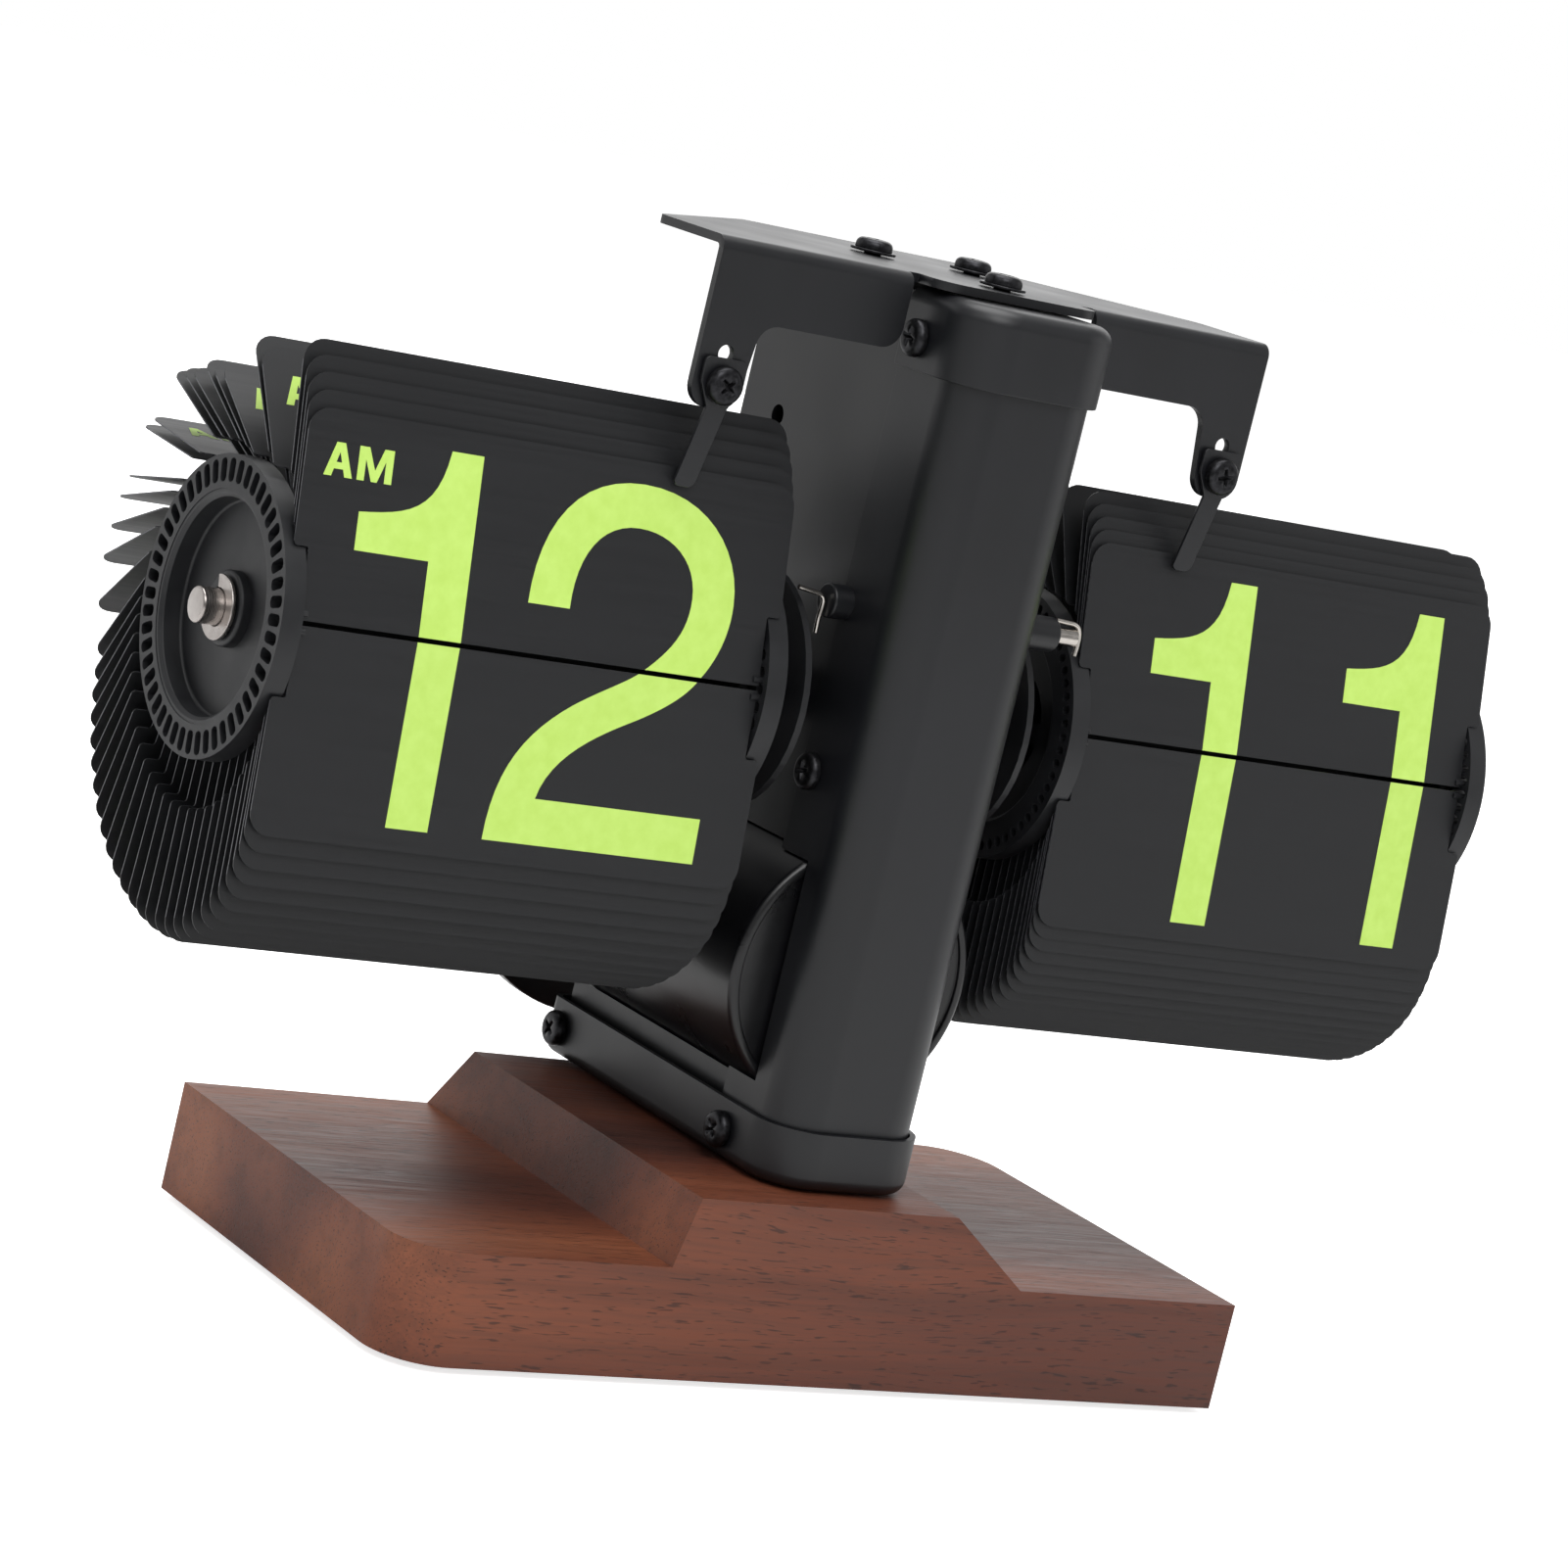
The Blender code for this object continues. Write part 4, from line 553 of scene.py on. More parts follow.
def plinth():
    """The slab with its ridge: two rounded and two sharp corners in plan."""
    low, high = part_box("wood_base")
    top = high.z - RIDGE_HEIGHT
    front = [(low.x, low.y, BASE_CORNER), (high.x, low.y, 0)]
    outline = rounded([*front, (high.x, high.y, BASE_CORNER), (low.x, high.y, 0)], 14)
    slab = raw(plate_mesh([outline], top - low.z, FLAT, low.z))
    sink = 1.0 * MM
    slope = RIDGE_HEIGHT / (RIDGE_HEIGHT + sink)
    plan = (
        (-RIDGE_LEFT_TOP, -RIDGE_LEFT_FOOT, low.y, low.y),
        (RIDGE_RIGHT_TOP, RIDGE_RIGHT_FOOT, low.y, low.y),
        (RIDGE_RIGHT_TOP, RIDGE_RIGHT_FOOT, high.y - RIDGE_BACK_SLOPE, high.y),
        (-RIDGE_LEFT_TOP, -RIDGE_LEFT_FOOT, high.y - RIDGE_BACK_SLOPE, high.y),
    )
    below = [(t + (f - t) / slope, y + (e - y) / slope, top - sink) for t, f, y, e in plan]
    above = [(t, y, high.z) for t, f, y, e in plan]
    ridge = raw(skin_mesh([below, above]))
    behind = high.y + sink * 3
    past = [(low.x, high.y), (high.x, high.y), (high.x, behind), (low.x, behind)]
    boolean(ridge, [plate_mesh([past], RIDGE_HEIGHT + sink * 4, FLAT, top - sink * 2)])
    boolean(slab, [taken(ridge)], "UNION")
    made = shaped("walnut_plinth", taken(slab), BASE_EASE, 3)
    placed(made, WALNUT, "stand", ["wood_base"])


def feet():
    for row in ("front", "rear"):
        for side in SIDES:
            node = f"foot_{row}_{side}"
            low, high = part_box(node)
            radius = (high.x - low.x) / 2
            ease = 0.25 * MM
            half = [(0, high.z, 0), (radius, high.z, ease), (radius, low.z, ease), (0, low.z, 0)]
            centre = ((low.x + high.x) / 2, (low.y + high.y) / 2, 0)
            mesh = turned_mesh(rounded(half, 5), (0, 0, 1), centre, 40)
            placed(shaped(f"pad_{row}_{side}", mesh), RUBBER, "stand", [node])


# Column
def column_plan(half, front, back, radius, back_radius=0.0, steps=14):
    """Plan of the column or of what wraps it: rounded at the front. Front and back are world places."""
    rear = [(half, back, back_radius), (-half, back, back_radius)]
    return rounded([*rear, (-half, front, radius), (half, front, radius)], steps)


def can_space(radius, back):
    """The round space around the battery housing."""
    front = CAN_AXIS.y - GAP
    return turned_mesh([(0, back - front), (radius, back - front), (radius, 0), (0, 0)], (0, 1, 0),
                       (0, front, CAN_AXIS.z), 96)


def cover():
    """The bent front cover with its rounded nose."""
    low, high = COVER_LOW, COVER_HIGH
    outer = column_plan(high.x, low.y, high.y, NOSE_RADIUS)
    blank = raw(plate_mesh([outer], high.z - low.z, FLAT, low.z))
    inner = column_plan(
        high.x - COVER_SHEET, low.y + COVER_SHEET, high.y + COVER_SHEET, NOSE_RADIUS - COVER_SHEET
    )
    tall = high.z - low.z + COVER_SHEET * 2
    boolean(blank, [plate_mesh([inner], tall, FLAT, low.z - COVER_SHEET)])
    boolean(blank, [can_space(CAN_RADIUS + GAP, AXIS.y)])
    made = shaped("bent_cover", taken(blank), SHEET_EASE, 2)
    placed(made, PAINT, "stand", ["column_cover"])


PLATE_EDGE_RADIUS = 4.0 * MM
PLATE_HOLE_RADIUS = 1.5 * MM
PLATE_HOLE_BACK = 18.5 * MM
PLATE_HOLE_UP = 35.0 * MM
PLATE_TOP_BACK = 28.0 * MM
BEARING_RADIUS = 3.7 * MM
POST_RADIUS = 2.4 * MM
POST_FRONT = 10.5 * MM
POST_UP = 14.6 * MM


def side_plates():
    """The flat sides behind the cover, each with its hole, its window for the battery and its spring post."""
    for side, sign in SIDES.items():
        low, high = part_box(f"side_plate_{side}")
        inner = min(abs(low.x), abs(high.x))
        outer = inner + PLATE_SHEET
        start = inner if sign > 0 else -outer
        outline = rounded(
            [
                (low.y, low.z, 0),
                (high.y, low.z, 0),
                (high.y, CAN_AXIS.z, 0),
                (AXIS.y + PLATE_TOP_BACK, CAN_AXIS.z + CAN_RADIUS, 0),
                (AXIS.y + PLATE_TOP_BACK, high.z, PLATE_EDGE_RADIUS),
                (low.y, high.z, 0),
            ]
        )
        hole = circle(PLATE_HOLE_RADIUS, 40, (AXIS.y + PLATE_HOLE_BACK, AXIS.z + PLATE_HOLE_UP))
        bearing = circle(BEARING_RADIUS, 48, (AXIS.y, AXIS.z))
        blank = raw(plate_mesh([outline, hole, bearing], PLATE_SHEET, FACING_X, start))
        boolean(blank, [can_space(CAN_RADIUS + GAP, high.y + PLATE_SHEET)])
        made = shaped(f"flat_side_{side}", taken(blank), SHEET_EASE, 2)
        placed(made, PAINT, "stand", [f"side_plate_{side}"])
        reach = post_tip(side) - outer
        profile = rounded([(0, reach, 0), (POST_RADIUS, reach, 0.35 * MM), (POST_RADIUS, 0, 0), (0, 0, 0)], 6)
        post = turned_mesh(profile, (sign, 0, 0), (sign * outer, AXIS.y - POST_FRONT, AXIS.z + POST_UP), 48)
        placed(shaped(f"spring_post_{side}", post), PAINT, "stand")


def post_tip(side):
    """How far out a spring post reaches."""
    low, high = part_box(f"side_plate_{side}")
    return max(abs(low.x), abs(high.x))


def rear_sheet():
    low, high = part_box("rear_cover")
    outline = [(low.x, low.z), (high.x, low.z), (high.x, high.z), (low.x, high.z)]
    mesh = plate_mesh([outline], high.y - low.y, FACING_Y, -high.y)
    placed(shaped("rear_sheet", mesh, SHEET_EASE), PAINT, "stand", ["rear_cover"])


def shoe():
    """The pressed tray at the column's foot: round lower edge, one fold all round."""
    low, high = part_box("shoe")
    rings = []
    steps = 7
    for step in range(steps + 1):
        angle = math.pi / 2 * step / steps
        inset = PRESSED_EDGE * (1 - math.sin(angle))
        back_inset = min(inset, SHOE_BACK_RADIUS * 0.6)
        plan = column_plan(high.x - inset, low.y + inset, high.y - back_inset, nose_of_shoe() - inset,
                           SHOE_BACK_RADIUS - back_inset)
        rings.append([(x, y, low.z + PRESSED_EDGE * (1 - math.cos(angle))) for x, y in plan])
    rings.append([(x, y, high.z) for x, y, _ in rings[-1]])
    inner = column_plan(high.x - PRESSED_SHEET, low.y + PRESSED_SHEET, high.y - PRESSED_SHEET,
                        nose_of_shoe() - PRESSED_SHEET, SHOE_BACK_RADIUS - PRESSED_SHEET)
    rings.append([(x, y, high.z) for x, y in inner])
    rings.append([(x, y, low.z + PRESSED_SHEET) for x, y in inner])
    made = shaped("pressed_shoe", skin_mesh(rings), 0.15 * MM, 2)
    placed(made, PAINT, "stand", ["shoe"])


def nose_of_shoe():
    return NOSE_RADIUS + GAP + PRESSED_SHEET


def cap():
    """The pressed cap over the column's top, open at the back and below."""
    low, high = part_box("top_cap")
    deep = high.y + CAP_EDGE * 2
    rings = []
    steps = 7
    for step in range(steps + 1):
        angle = math.pi / 2 * step / steps
        inset = CAP_EDGE * (1 - math.sin(angle))
        plan = column_plan(high.x - inset, low.y + inset, deep, nose_of_shoe() - inset)
        rings.append([(x, y, high.z - CAP_EDGE * (1 - math.cos(angle))) for x, y in plan])
    rings.append([(x, y, low.z) for x, y, _ in rings[-1]])
    inner = column_plan(high.x - PRESSED_SHEET, low.y + PRESSED_SHEET, deep - PRESSED_SHEET,
                        nose_of_shoe() - PRESSED_SHEET)
    rings.append([(x, y, low.z) for x, y in inner])
    rings.append([(x, y, high.z - PRESSED_SHEET) for x, y in inner])
    blank = raw(skin_mesh(rings))
    side = high.x * 2
    behind = [(-side, high.y), (side, high.y), (side, deep * 2 + side), (-side, deep * 2 + side)]
    boolean(blank, [plate_mesh([behind], high.z - low.z + side, FLAT, low.z - side / 2)])
    made = shaped("pressed_cap", taken(blank), 0.15 * MM, 2)
    placed(made, PAINT, "stand", ["top_cap"])


# Top bracket and flap stops
BRACKET_FRONT = 14.0 * MM
BRACKET_MIDDLE_BACK = 27.0 * MM
BRACKET_MIDDLE_HALF = 18.0 * MM
BRACKET_END_BACK = 3.4 * MM
LIP_FRONT = 18.2 * MM
LIP_HALF = 13.4 * MM
LIP_CORNER = 3.8 * MM
BRACKET_CORNER = 3.0 * MM
FLANGE_START = 15.3 * MM
WEB_HEIGHT = 10.4 * MM
ARM_WIDTH = 8.6 * MM
ARM_HEIGHT = 22.5 * MM
ARM_RADIUS = 3.0 * MM
ARM_TAPER = 1.4 * MM
BEND_RADIUS = 1.8 * MM


def bent(mesh, line_y, top_z, radius, beyond_x):
    """Bends what lies in front of a line down by a quarter turn, where it is off the middle."""
    work = bmesh.new()
    work.from_mesh(mesh)
    arc = radius * math.pi / 2
    steps = 8
    for step in range(steps + 1):
        every = work.verts[:] + work.edges[:] + work.faces[:]
        fold = (0, line_y - arc * step / steps, 0)
        bmesh.ops.bisect_plane(work, geom=every, dist=MM / 10000, plane_co=fold, plane_no=(0, 1, 0))
    for vertex in work.verts:
        along = line_y - vertex.co.y
        if along <= 0 or abs(vertex.co.x) < beyond_x:
            continue
        deep = top_z - vertex.co.z
        turn = min(along, arc) / radius
        reach = radius - deep
        vertex.co.y = line_y - reach * math.sin(turn)
        vertex.co.z = top_z - radius + reach * math.cos(turn) - max(0.0, along - arc)
        if along > arc:
            vertex.co.y = line_y - reach
    bmesh.ops.recalc_face_normals(work, faces=work.faces)
    work.to_mesh(mesh)
    work.free()
    return mesh


def bracket():
    """The top bracket, cut flat and bent: a lip over the cap, and a flange with an arm each side."""
    low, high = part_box("top_bracket")
    top, half = high.z, high.x
    front = AXIS.y - BRACKET_FRONT
    line = front + BEND_RADIUS
    arc = BEND_RADIUS * math.pi / 2

    def flat(drop):
        """Where a point of the flange lies in the flat blank, from its drop below the top."""
        return line - arc - (drop - BEND_RADIUS)

    sides = []
    for sign in (RIGHT, LEFT):
        corners = [
            (sign * LIP_HALF, AXIS.y - LIP_FRONT, LIP_CORNER),
            (sign * LIP_HALF, line + GAP, 0),
            (sign * FLANGE_START, line + GAP, 0),
            (sign * FLANGE_START, flat(WEB_HEIGHT), ARM_RADIUS),
            (sign * (half - ARM_WIDTH), flat(WEB_HEIGHT), ARM_RADIUS),
            (sign * (half - ARM_WIDTH + ARM_TAPER), flat(ARM_HEIGHT), ARM_RADIUS),
            (sign * half, flat(ARM_HEIGHT), ARM_RADIUS),
            (sign * half, AXIS.y + BRACKET_END_BACK, BRACKET_CORNER),
            (sign * BRACKET_MIDDLE_HALF, AXIS.y + BRACKET_MIDDLE_BACK, BRACKET_CORNER),
        ]
        sides += corners if sign > 0 else corners[::-1]
    holes = []
    for word in DRUMS:
        low_stop, high_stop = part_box(f"flap_stop_{word}")
        holes.append(circle(STOP_HOLE_RADIUS, 32, ((low_stop.x + high_stop.x) / 2, flat(STOP_HOLE_DROP))))
    mesh = plate_mesh([rounded(sides), *holes], BRACKET_SHEET, FLAT, top - BRACKET_SHEET)
    bent(mesh, line, top, BEND_RADIUS, (LIP_HALF + FLANGE_START) / 2)
    made = shaped("bent_bracket", mesh, SHEET_EASE, 2)
    placed(made, PAINT, "stand", ["top_bracket"])
    return top


STOP_HEAD_WIDTH = 6.6 * MM
STOP_BLADE_WIDTH = 3.2 * MM
STOP_HEAD_TOP = 15.6 * MM
STOP_HEAD_BOTTOM = 22.2 * MM
STOP_BEND = 0.8 * MM
STOP_ASIDE = 1.8 * MM
STOP_HOLE_DROP = 15.1 * MM
STOP_HOLE_RADIUS = 1.2 * MM


def flap_stop(word, top):
    """A finger whose head sits under the arm's hole, with a blade that leans back to the page and aside."""
    low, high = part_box(f"flap_stop_{word}")
    centre = (low.x + high.x) / 2
    head, blade = STOP_HEAD_WIDTH / 2, STOP_BLADE_WIDTH / 2
    outline = rounded(
        [
            (centre - head, top - STOP_HEAD_TOP, blade / 2),
            (centre - head, top - STOP_HEAD_BOTTOM + head, blade),
            (centre - blade, top - STOP_HEAD_BOTTOM, 0),
            (centre - blade, low.z, blade * 0.6),
            (centre + blade, low.z, blade * 0.6),
            (centre + blade, top - STOP_HEAD_BOTTOM, 0),
            (centre + head, top - STOP_HEAD_BOTTOM + head, blade),
            (centre + head, top - STOP_HEAD_TOP, blade / 2),
        ]
    )
    thick = high.y - low.y - STOP_BEND
    mesh = plate_mesh([outline], thick, FACING_Y, -low.y - thick)
    bend_z = top - STOP_HEAD_BOTTOM
    work = bmesh.new()
    work.from_mesh(mesh)
    every = work.verts[:] + work.edges[:] + work.faces[:]
    bmesh.ops.bisect_plane(work, geom=every, dist=MM / 10000, plane_co=(0, 0, bend_z), plane_no=(0, 0, 1))
    for vertex in work.verts:
        share = max(0.0, bend_z - vertex.co.z) / (bend_z - low.z)
        vertex.co.y += STOP_BEND * share
        vertex.co.x -= STOP_ASIDE * share
    work.to_mesh(mesh)
    work.free()
    made = shaped(f"stop_finger_{word}", mesh, 0.1 * MM, 2)
    placed(made, PAINT, f"{word}_stop", [f"flap_stop_{word}"])


# Fasteners
SCREW_HEAD = 2.6 * MM
SCREW_HEAD_HEIGHT = 1.5 * MM
SCREW_SHANK = 1.2 * MM
WASHER_RADIUS = 3.2 * MM
WASHER_SHEET = 0.4 * MM
RECESS_ARM = 1.6 * MM
RECESS_WIDTH = 0.62 * MM
RECESS_DEPTH = 1.0 * MM
RECESS_TURN = math.radians(20)


def pan_head(washer, shank):
    """A pan head screw's mesh with its cross recess, seated at the origin and pointing up."""
    seat = WASHER_SHEET if washer else 0.0
    top = seat + SCREW_HEAD_HEIGHT
    profile = rounded(
        [(0, top, 0), (SCREW_HEAD, top - 0.12 * MM, 0.95 * MM), (SCREW_HEAD, seat, 0.1 * MM),
         (SCREW_SHANK, seat, 0), (SCREW_SHANK, -shank, 0), (0, -shank, 0)],
        8,
    )
    head = raw(turned_mesh(profile, (0, 0, 1), (0, 0, 0), 48))
    long, short = RECESS_ARM, RECESS_WIDTH / 2
    cross = []
    for quarter in range(4):
        turn = Matrix.Rotation(RECESS_TURN + quarter * TURN / 4, 2)
        arm = ((long, short), (short * 1.4, short * 1.4), (short, long))
        cross += [turn @ Vector(point) for point in arm]
    floor = [(x * 0.55, y * 0.55, top - RECESS_DEPTH) for x, y in cross]
    mouth = [(x, y, top + RECESS_WIDTH) for x, y in cross]
    boolean(head, [skin_mesh([floor, mouth])])
    meshes = [taken(head)]
    if washer:
        ring = [(SCREW_SHANK, WASHER_SHEET, 0), (WASHER_RADIUS, WASHER_SHEET, 0.12 * MM),
                (WASHER_RADIUS, 0, 0.12 * MM), (SCREW_SHANK, 0, 0)]
        meshes.append(turned_mesh(rounded(ring, 4), (0, 0, 1), (0, 0, 0), 48))
    return joined(meshes)


def screws():
    """Every screw as one of two heads, at the place of its solid."""
    kinds = {}
    for washer in (True, False):
        mesh = pan_head(washer, 1.0 * MM)
        blank = shaped("head", mesh, 0.05 * MM, 1, 40)
        kinds[washer] = settle(blank).data.copy()
        bpy.data.objects.remove(blank)
    groups = [("bracket", ("front", "left", "right"), (0, 0, 1)), ("stop", SIDES, (0, -1, 0)),
              ("cap", SIDES, None), ("flank", SIDES, None),
              ("shoe", [f"{row}_{side}" for row in ("front", "rear") for side in SIDES], None)]
    for index, (group, places, axis) in enumerate(groups):
        for turn, place in enumerate(places):
            node = f"{group}_screw_{place}"
            low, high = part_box(node)
            way = Vector(axis or ((-1 if "left" in place else 1), 0, 0))
            washer = group == "bracket"
            height = SCREW_HEAD_HEIGHT + (WASHER_SHEET if washer else 0.0)
            seat = (low + high) / 2
            for k in range(3):
                if way[k]:
                    seat[k] = (high[k] if way[k] > 0 else low[k]) - way[k] * height
            made = bpy.data.objects.new(f"pan_head_{group}_{place}", kinds[washer])
            bpy.context.scene.collection.objects.link(made)
            spin = Matrix.Rotation(0.5 * index + 0.9 * turn, 4, "Z")
            pointed = way.to_track_quat("Z", "Y").to_matrix().to_4x4()
            made.matrix_world = Matrix.Translation(seat) @ pointed @ spin
            placed(made, SCREW, "stand", [node])


# Drums
WHEEL_RADIUS = 19.7 * MM
WHEEL_RIM_INNER = 14.2 * MM
WHEEL_LIP = 15.2 * MM
WHEEL_WEB = 0.8 * MM
SOCKET_RADIUS = 17.6 * MM
SOCKET_LONG = 3.1 * MM
SOCKET_SHARE = 0.68
SOCKET_CORNER = 0.6 * MM
WEB_DEPTH = 3.3 * MM
COLLAR_HEIGHT = 1.6 * MM
BORE = 3.4 * MM


def wheel(node, word, sign, outermost):
    """A leaf wheel: a rim with one socket a leaf, a chamfered lip, and a web set back to the leaves' side."""
    low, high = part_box(node)
    count = LEAVES[word]
    thick = high.x - low.x
    sockets = []
    for index in range(count):
        a = TURN * index / count
        r, long = (SOCKET_RADIUS, SOCKET_LONG / 2) if outermost else (HINGE_RADIUS, SOCKET_LONG / 4)
        wide = SOCKET_SHARE * HALF_TURN * SOCKET_RADIUS / count
        shape = rounded([(r - long, -wide, SOCKET_CORNER), (r + long, -wide, SOCKET_CORNER),
                         (r + long, wide, SOCKET_CORNER), (r - long, wide, SOCKET_CORNER)], 3)
        turn = Matrix.Rotation(a, 2)
        sockets.append([turn @ Vector(point) for point in shape])
    outlines = [circle(WHEEL_RADIUS, count * 2), circle(WHEEL_LIP, 96), *sockets]
    rim = plate_mesh(outlines, thick, FACING_X, low.x)
    rim.transform(Matrix.Translation((0, AXIS.y, AXIS.z)))
    rim = taken_eased(rim, 0.22 * MM)
    face = high.x if (sign > 0) == outermost else low.x
    way = 1 if face == high.x else -1
    web_back = WEB_DEPTH + WHEEL_WEB
    lip = [(WHEEL_LIP, 0.1 * MM, 0), (WHEEL_RIM_INNER + 0.5 * MM, 0.1 * MM, 0.2 * MM),
           (WHEEL_RIM_INNER, 0.6 * MM, 0.2 * MM), (WHEEL_RIM_INNER, WEB_DEPTH, 0.4 * MM),
           (BORE, WEB_DEPTH, 0), (BORE, web_back, 0), (WHEEL_LIP - GAP, web_back, 0.8 * MM),
           (WHEEL_LIP - GAP, thick, 0), (WHEEL_LIP, thick, 0)]
    web = turned_mesh(rounded(lip, 5), (-way, 0, 0), (face, AXIS.y, AXIS.z), 96)
    made = shaped(node.replace("wheel", "leaf_wheel"), joined([rim, web]))
    placed(made, PLASTIC, f"{word}_drum", [node])


def taken_eased(mesh, ease):
    blank = raw(mesh)
    bevel = blank.modifiers.new("eased edges", "BEVEL")
    bevel.width = ease
    bevel.segments = 2
    bevel.limit_method = "ANGLE"
    bevel.angle_limit = math.radians(50)
    return taken(settle(blank))


AXLE_RADIUS = 2.4 * MM
CLIP_RADIUS = 4.3 * MM
CLIP_SHEET = 0.6 * MM
CLIP_MOUTH = math.radians(24)
CLIP_TURN = math.radians(50)


def axle():
    """The fixed axle with chamfered ends, and a snap ring on each."""
    half = AXLE_HIGH.x
    ease = 0.35 * MM
    ends = [(0, half, 0), (AXLE_RADIUS, half, ease), (AXLE_RADIUS, -half, ease), (0, -half, 0)]
    rod = turned_mesh(rounded(ends, 5), (1, 0, 0), AXIS, 56)
    placed(shaped("steel_axle", rod), STEEL, "stand", ["axle"])
    for word, sign in DRUMS.items():
        outer = [CLIP_TURN + CLIP_MOUTH + (TURN - 2 * CLIP_MOUTH) * step / 60 for step in range(61)]
        outline = [(CLIP_RADIUS * math.cos(a), CLIP_RADIUS * math.sin(a)) for a in outer]
        bite = AXLE_RADIUS + 0.12 * MM
        outline += [(bite * math.cos(a), bite * math.sin(a)) for a in reversed(outer)]
        mesh = plate_mesh([outline], CLIP_SHEET, FACING_X, -CLIP_SHEET / 2)
        place = web_face(word) + COLLAR_HEIGHT + CLIP_SHEET
        mesh.transform(Matrix.Translation((sign * place, AXIS.y, AXIS.z)))
        made = shaped(f"snap_ring_{word}", mesh, 0.08 * MM, 1)
        placed(made, STEEL, "stand", [f"axle_clip_{word}"])


def cores():
    """The tube of each drum, from its inner wheel to the set-back web."""
    for word, sign in DRUMS.items():
        low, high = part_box(f"{word}_drum_core")
        start = min(abs(low.x), abs(high.x))
        length = web_face(word) - WHEEL_WEB - GAP - start
        profile = [(BORE, length), ((high.z - low.z) / 2, length), ((high.z - low.z) / 2, 0), (BORE, 0)]
        made = shaped(f"drum_tube_{word}", turned_mesh(profile, (sign, 0, 0), (sign * start, AXIS.y, AXIS.z)))
        placed(made, PLASTIC, f"{word}_drum", [f"{word}_drum_core"])


def web_face(word):
    """How far out the outer web stands."""
    low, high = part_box(f"{word}_wheel_outer")
    return max(abs(low.x), abs(high.x)) - WEB_DEPTH


def hubs():
    """The collar between each outer web and its snap ring."""
    for word, sign in DRUMS.items():
        low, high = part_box(f"{word}_hub_collar")
        radius = (high.z - low.z) / 2
        start = (sign * web_face(word), AXIS.y, AXIS.z)
        ring = [(BORE, COLLAR_HEIGHT, 0), (radius, COLLAR_HEIGHT, 0.5 * MM), (radius, 0, 0), (BORE, 0, 0)]
        made = shaped(f"collar_{word}", turned_mesh(rounded(ring, 6), (sign, 0, 0), start))
        placed(made, PLASTIC, f"{word}_drum", [f"{word}_hub_collar"])


# Leaves
def hinge_angle(count, index):
    """Angle of a leaf's hinge above the horizontal front, growing up and over the back."""
    return PAGE_RISE + TURN / count * (0.5 + index)


def leaf_lean(word, index):
    """A leaf's lean, held back where it would reach the next leaf's hinge."""
    count, stated = LEAVES[word], LEAN_BY_TURN_DEG[word]
    angle = hinge_angle(count, index)
    turn = math.degrees(angle - hinge_angle(count, 0))
    lean = math.radians(stated[-1][1])
    if index < 0:
        return lean
    for (start, before), (end, after) in zip(stated, stated[1:]):
        if turn <= end:
            lean = math.radians(before + (after - before) * (turn - start) / (end - start))
            break
    if index == 0:
        return lean
    chord = 2 * HINGE_RADIUS * math.sin(HALF_TURN / count)
    return min(lean, angle + HALF_TURN / count - math.asin((LEAF_SHEET + LEAF_AIR) / chord))


def leaf_place(word, index):
    """Where a leaf's own frame stands: its hinge, turned by its lean. The pages push the others deeper in."""
    angle = hinge_angle(LEAVES[word], index)
    radius = HINGE_RADIUS - (LEAF_DEPTH if index > 0 else 0.0)
    hinge = AXIS + Vector((0, -radius * math.cos(angle), radius * math.sin(angle)))
    return Matrix.Translation(hinge) @ Matrix.Rotation(-leaf_lean(word, index), 4, "X")


def leaf_mesh(sign, count):
    """A leaf with its notches, rounded corners and hinge pins, in its own frame."""
    over = (2 * HINGE_RADIUS * math.sin(HALF_TURN / count) - LEAF_SLIT) / 2
    low, high = LEAF_INNER, LEAF_OUTER
    corners = [
        (low, LEAF_REACH, LEAF_CORNER),
        (low, LEAF_NOTCH_REACH, 0.5 * MM),
        (low + LEAF_NOTCH, LEAF_NOTCH_REACH, 0.4 * MM),
        (low + LEAF_NOTCH, -over, 0),
        (high - LEAF_NOTCH, -over, 0),
        (high - LEAF_NOTCH, LEAF_NOTCH_REACH, 0.4 * MM),
        (high, LEAF_NOTCH_REACH, 0.5 * MM),
        (high, LEAF_REACH, LEAF_CORNER),
    ]
    outline = rounded([(sign * x, y, radius) for x, y, radius in corners], 7)
    meshes = [plate_mesh([outline], LEAF_SHEET, FACING_Y, -LEAF_SHEET / 2)]
    for edge, way in ((low + LEAF_NOTCH, -1), (high - LEAF_NOTCH, 1)):
        tip, root = 1.9 * MM, -1.0 * MM
        pin = [(0, tip), (LEAF_PIN * 0.8, tip), (LEAF_PIN, tip - 0.2 * MM), (LEAF_PIN, root), (0, root)]
        meshes.append(turned_mesh(pin, (sign * way, 0, 0), (sign * edge, 0, 0), 10))
    return joined(meshes)


